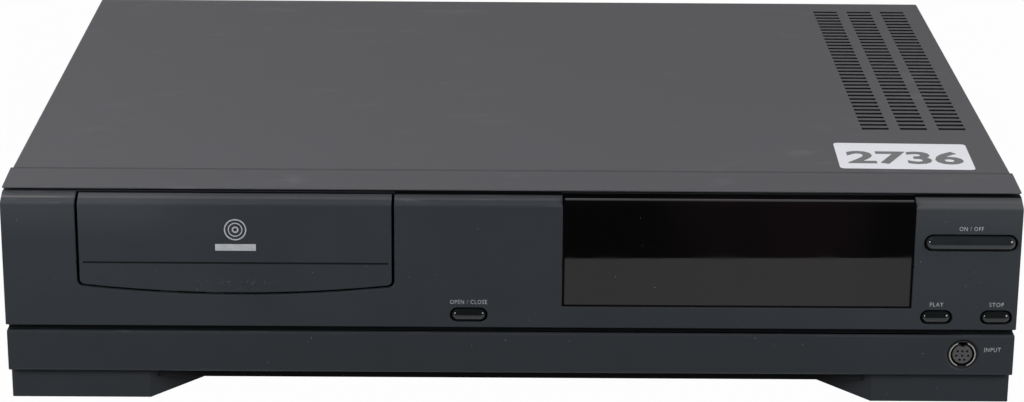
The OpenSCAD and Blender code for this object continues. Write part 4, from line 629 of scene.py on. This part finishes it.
def slab(name, outline, to_frame, kind):
    """Thin closed plate with the outline given in its own plane; to_frame maps (across, up, out)."""
    shape = bmesh.new()
    back = [shape.verts.new(to_frame(across, up, 0)) for across, up in outline]
    front = [shape.verts.new(to_frame(across, up, INK_T)) for across, up in outline]
    shape.faces.new(front)
    shape.faces.new(back[::-1])
    for i in range(len(outline)):
        j = (i + 1) % len(outline)
        shape.faces.new((back[i], back[j], front[j], front[i]))
    add_shape(name, shape, kind)


def rounded_rectangle(width, height, radius):
    points = []
    for corner in range(4):
        side_x = 1 if corner in (0, 3) else -1
        side_y = 1 if corner in (0, 1) else -1
        for i in range(CORNER_STEPS + 1):
            angle = math.radians(90 * corner + 90 * i / CORNER_STEPS)
            points.append((side_x * (width / 2 - radius) + radius * math.cos(angle),
                           side_y * (height / 2 - radius) + radius * math.sin(angle)))
    return points


def ring(name, inner, outer, to_frame, kind):
    """Thin flat closed ring in its own plane."""
    shape = bmesh.new()
    angles = [2 * math.pi * i / RING_STEPS for i in range(RING_STEPS)]
    loops = []
    for radius, out in ((inner, 0), (outer, 0), (outer, INK_T), (inner, INK_T)):
        loops.append([shape.verts.new(to_frame(radius * math.cos(t), radius * math.sin(t), out))
                      for t in angles])
    for loop, following in zip(loops, loops[1:] + loops[:1]):
        for i in range(RING_STEPS):
            j = (i + 1) % RING_STEPS
            shape.faces.new((loop[i], loop[j], following[j], following[i]))
    add_shape(name, shape, kind)


def lettering(name, words, width_mm, height_mm, to_frame, kind, spacing=1.0, bold=0.0):
    """Words as thin closed letters, fitted to a width and a height in their own plane."""
    curve = bpy.data.curves.new(name, "FONT")
    curve.body = words
    curve.space_character = spacing
    curve.offset = bold
    curve.extrude = LETTER_DEPTH
    curve.resolution_u = LETTER_STEPS
    text = bpy.data.objects.new(name + "_text", curve)
    scene.collection.objects.link(text)
    bpy.context.view_layer.update()
    mesh = bpy.data.meshes.new_from_object(text.evaluated_get(bpy.context.evaluated_depsgraph_get()))
    bpy.data.objects.remove(text)
    bpy.data.curves.remove(curve)
    shape = bmesh.new()
    shape.from_mesh(mesh)
    bpy.data.meshes.remove(mesh)
    low = Vector([min(v.co[i] for v in shape.verts) for i in range(3)])
    high = Vector([max(v.co[i] for v in shape.verts) for i in range(3)])
    size = high - low
    middle = (low + high) / 2
    for v in shape.verts:
        across = (v.co.x - middle.x) / size.x * width_mm
        up = (v.co.y - middle.y) / size.y * height_mm
        out = (v.co.z - low.z) / size.z * INK_T
        v.co = to_frame(across, up, out)
    bmesh.ops.remove_doubles(shape, verts=shape.verts, dist=LETTER_WELD_MM * MM)
    add_shape(name, shape, kind)


def on_front(x, z):
    """Plane of the front face, round a point: across is +X, up is +Z, out is towards the front."""
    return lambda across, up, out: at(x + across, INK_SINK - out, z + up)


def on_cover(x, y, turn, lift=0):
    """Plane of the cover's top, round a point: across is +X, up is towards the back, both turned."""
    cos, sin = math.cos(turn), math.sin(turn)
    return lambda across, up, out: at(x + across * cos - up * sin, y + across * sin + up * cos,
                                      TOP_Z - INK_SINK + lift + out)


make_camera()

# Carried-over nodes take their materials
for name, node in nodes.items():
    node.data.materials.clear()
    node.data.materials.append(OWN_FINISH.get(name, MATERIALS[slot_of[name]]))

# Rounded copies of the outer mouldings and the disc tray, cut at the middle of what is set into them
ROUNDING_MM = {"front_panel": 0.4, "lower_trim": 0.3, "tray_front": 0.15, "top_trim": 0.2,
               "front_feet": 0.4, "display_window": 0.18, "disc_tray": 0.4}
CUT_AT = {"front_panel": ("tray_front", "display_window", "open_button", "play_button", "stop_button",
                          "power_button"),
          "lower_trim": ("input_ring",),
          "tray_front": ("tray_front",)}
for name, radius in ROUNDING_MM.items():
    rounded(name, radius, [middle_mm(inset).x for inset in CUT_AT.get(name, ())])

# Printed words above the keys and beside the socket
LEGEND_H = 1.8
LEGEND_OVER = 2.1
LEGEND_ASIDE = -0.1
LEGEND_SPACING = 1.15
LEGEND_BOLD = -0.008
KEY_LEGENDS = (("power_button", "ON / OFF", 10.0), ("play_button", "PLAY", 5.6),
               ("stop_button", "STOP", 6.0), ("open_button", "OPEN / CLOSE", 15.4))
INPUT_W = 6.9
INPUT_ASIDE = 12.4
INPUT_UP = 2.3

socket_middle = middle_mm("input_ring")
legends = [("INPUT", INPUT_W, socket_middle.x + INPUT_ASIDE, socket_middle.z + INPUT_UP)]
for key, words, width in KEY_LEGENDS:
    legends.append((words, width, middle_mm(key).x + LEGEND_ASIDE, box_mm(key)[1].z + LEGEND_OVER))
for words, width, x, z in legends:
    lettering("legend_" + words.split()[0].lower(), words, width, LEGEND_H, on_front(x, z), CASE_PRINT,
              spacing=LEGEND_SPACING, bold=LEGEND_BOLD)

# Plain disc sign and bar on the tray front; the rings have an inner and an outer radius
SIGN_X = middle_mm("tray_front").x + 0.2
SIGN_Z = box_mm("tray_front")[1].z - 13.9
SIGN_RINGS = (("sign_rim", 4.1, 4.6), ("sign_groove", 2.6, 3.0), ("sign_hole", 0.8, 1.4))
BAR_W = 16.8
BAR_H = 2.9
BAR_ROUND = 0.15
BAR_DOWN = 7.7
for name, inner, outer in SIGN_RINGS:
    ring(name, inner, outer, on_front(SIGN_X, SIGN_Z), TRAY_PRINT)
slab("sign_bar", rounded_rectangle(BAR_W, BAR_H, BAR_ROUND), on_front(SIGN_X, SIGN_Z - BAR_DOWN),
     TRAY_PRINT)

# White number label on the cover
LABEL_TURN = math.radians(-1.3)
LABEL_X = 168.05
LABEL_Y = 56.0
LABEL_W = 57.3
LABEL_H = 36.5
LABEL_ROUND = 2.0
NUMBER_X = 168.3
NUMBER_Y = 53.8
NUMBER_W = 49.6
NUMBER_H = 18.3
NUMBER_BOLD = 0.03
slab("label", rounded_rectangle(LABEL_W, LABEL_H, LABEL_ROUND), on_cover(LABEL_X, LABEL_Y, LABEL_TURN),
     LABEL_SHEET)
lettering("label_number", "2736", NUMBER_W, NUMBER_H, on_cover(NUMBER_X, NUMBER_Y, LABEL_TURN, INK_T),
          LABEL_PRINT, bold=NUMBER_BOLD)

# Studio: a pale table, a dark room in front of it for the gloss, soft lamps and a pale surround
TABLE_HALF = 2500
TABLE_BACK = 3000
TABLE_FRONT = -181
TABLE_SLANT = 0.0226
TABLE_WHITE = (0.18, 0.18, 0.18)
TABLE_MOTTLE = 0.01
TABLE_MOTTLE_MM = 300
FLOOR_GLOW = 0.985
ROOM_HALF = 2600
ROOM_FRONT = -2600
ROOM_BACK = 200
ROOM_LOW = -700
ROOM_HIGH = 3000
FILL_COLOUR = (0.9, 0.95, 1.0, 1)
FILL_STRENGTH = 0.25
WHITE = (1, 1, 1, 1)
# Lamps: name, place, width, height and watts
LAMPS = (("overhead", at(-700, 650, 1400), 1500, 1200, 9.2),
         ("left_softbox", at(-700, -420, 370), 260, 260, 4.4),
         ("right_softbox", at(700, -420, 370), 380, 300, 4.4))
LAMP_AIM = at(0, 120, 40)


def stage_piece(name, corners, faces, material):
    mesh = bpy.data.meshes.new(name)
    mesh.from_pydata([tuple(c) for c in corners], [], faces)
    mesh.materials.append(material)
    piece = bpy.data.objects.new(name, mesh)
    scene.collection.objects.link(piece)
    return piece


def seen_rays(tree):
    """1 for rays from the camera, off gloss and through glass, 0 for the light that falls on things."""
    rays = tree.nodes.new("ShaderNodeLightPath")
    value = rays.outputs["Is Camera Ray"]
    for way in ("Is Glossy Ray", "Is Transmission Ray"):
        larger = tree.nodes.new("ShaderNodeMath")
        larger.operation = "MAXIMUM"
        tree.links.new(value, larger.inputs[0])
        tree.links.new(rays.outputs[way], larger.inputs[1])
        value = larger.outputs["Value"]
    return value


def mix_shaders(tree, factor, unseen, seen, output):
    """Surface that lights things as one shader does, and is seen as the other."""
    both = tree.nodes.new("ShaderNodeMixShader")
    for source, target in zip((factor, unseen.outputs[0], seen.outputs[0]), both.inputs):
        tree.links.new(source, target)
    tree.links.new(both.outputs[0], output.inputs["Surface"])


def table_material():
    s = Shader("table")
    s.tree.nodes.remove(s.bsdf)
    cloudy = s.noise(TABLE_MOTTLE_MM, detail=2.0)
    plain = s.add("ShaderNodeBsdfDiffuse")
    s.link(s.mix(cloudy, tone(TABLE_WHITE, 1 - TABLE_MOTTLE), tone(TABLE_WHITE, 1 + TABLE_MOTTLE)),
           plain.inputs["Color"])
    glow = s.add("ShaderNodeEmission")
    mix_shaders(s.tree, s.math("MULTIPLY", seen_rays(s.tree), FLOOR_GLOW), plain, glow, s.out)
    return s.material


def make_lamp(name, place, width_mm, height_mm, watts):
    data = bpy.data.lights.new(name, "AREA")
    data.shape = "RECTANGLE"
    data.size = width_mm * MM
    data.size_y = height_mm * MM
    data.energy = watts
    light = bpy.data.objects.new(name, data)
    light.location = place
    light.rotation_euler = (LAMP_AIM - place).to_track_quat("-Z", "Y").to_euler()
    light.visible_camera = False
    scene.collection.objects.link(light)


def make_surround():
    world = bpy.data.worlds.new("surround")
    world.use_nodes = True
    scene.world = world
    tree = world.node_tree
    fill = tree.nodes["Background"]
    fill.inputs["Color"].default_value = FILL_COLOUR
    fill.inputs["Strength"].default_value = FILL_STRENGTH
    white = tree.nodes.new("ShaderNodeBackground")
    white.inputs["Color"].default_value = WHITE
    white.inputs["Strength"].default_value = 1.0
    mix_shaders(tree, seen_rays(tree), fill, white, tree.nodes["World Output"])


table_corners = [at(x, TABLE_FRONT - TABLE_SLANT * x, 0) for x in (-TABLE_HALF, TABLE_HALF)]
table_corners += [at(x, TABLE_BACK, 0) for x in (TABLE_HALF, -TABLE_HALF)]
stage_piece("table_top", table_corners, [(0, 1, 2, 3)], table_material())

# The room is open at the back: floor, front wall, two sides and roof, seen in reflections alone
room_corners = [at(x, y, z) for z in (ROOM_LOW, ROOM_HIGH) for y in (ROOM_FRONT, ROOM_BACK)
                for x in (-ROOM_HALF, ROOM_HALF)]
room = stage_piece("dark_room", room_corners,
                   [(0, 1, 3, 2), (0, 1, 5, 4), (0, 2, 6, 4), (1, 3, 7, 5), (4, 5, 7, 6)],
                   finish("room_black", (0.01, 0.01, 0.01), 0.9, gloss=0.1))
for way in ("camera", "diffuse", "shadow", "transmission", "volume_scatter"):
    setattr(room, "visible_" + way, False)

for lamp in LAMPS:
    make_lamp(*lamp)
make_surround()

scene.view_settings.view_transform = "Standard"
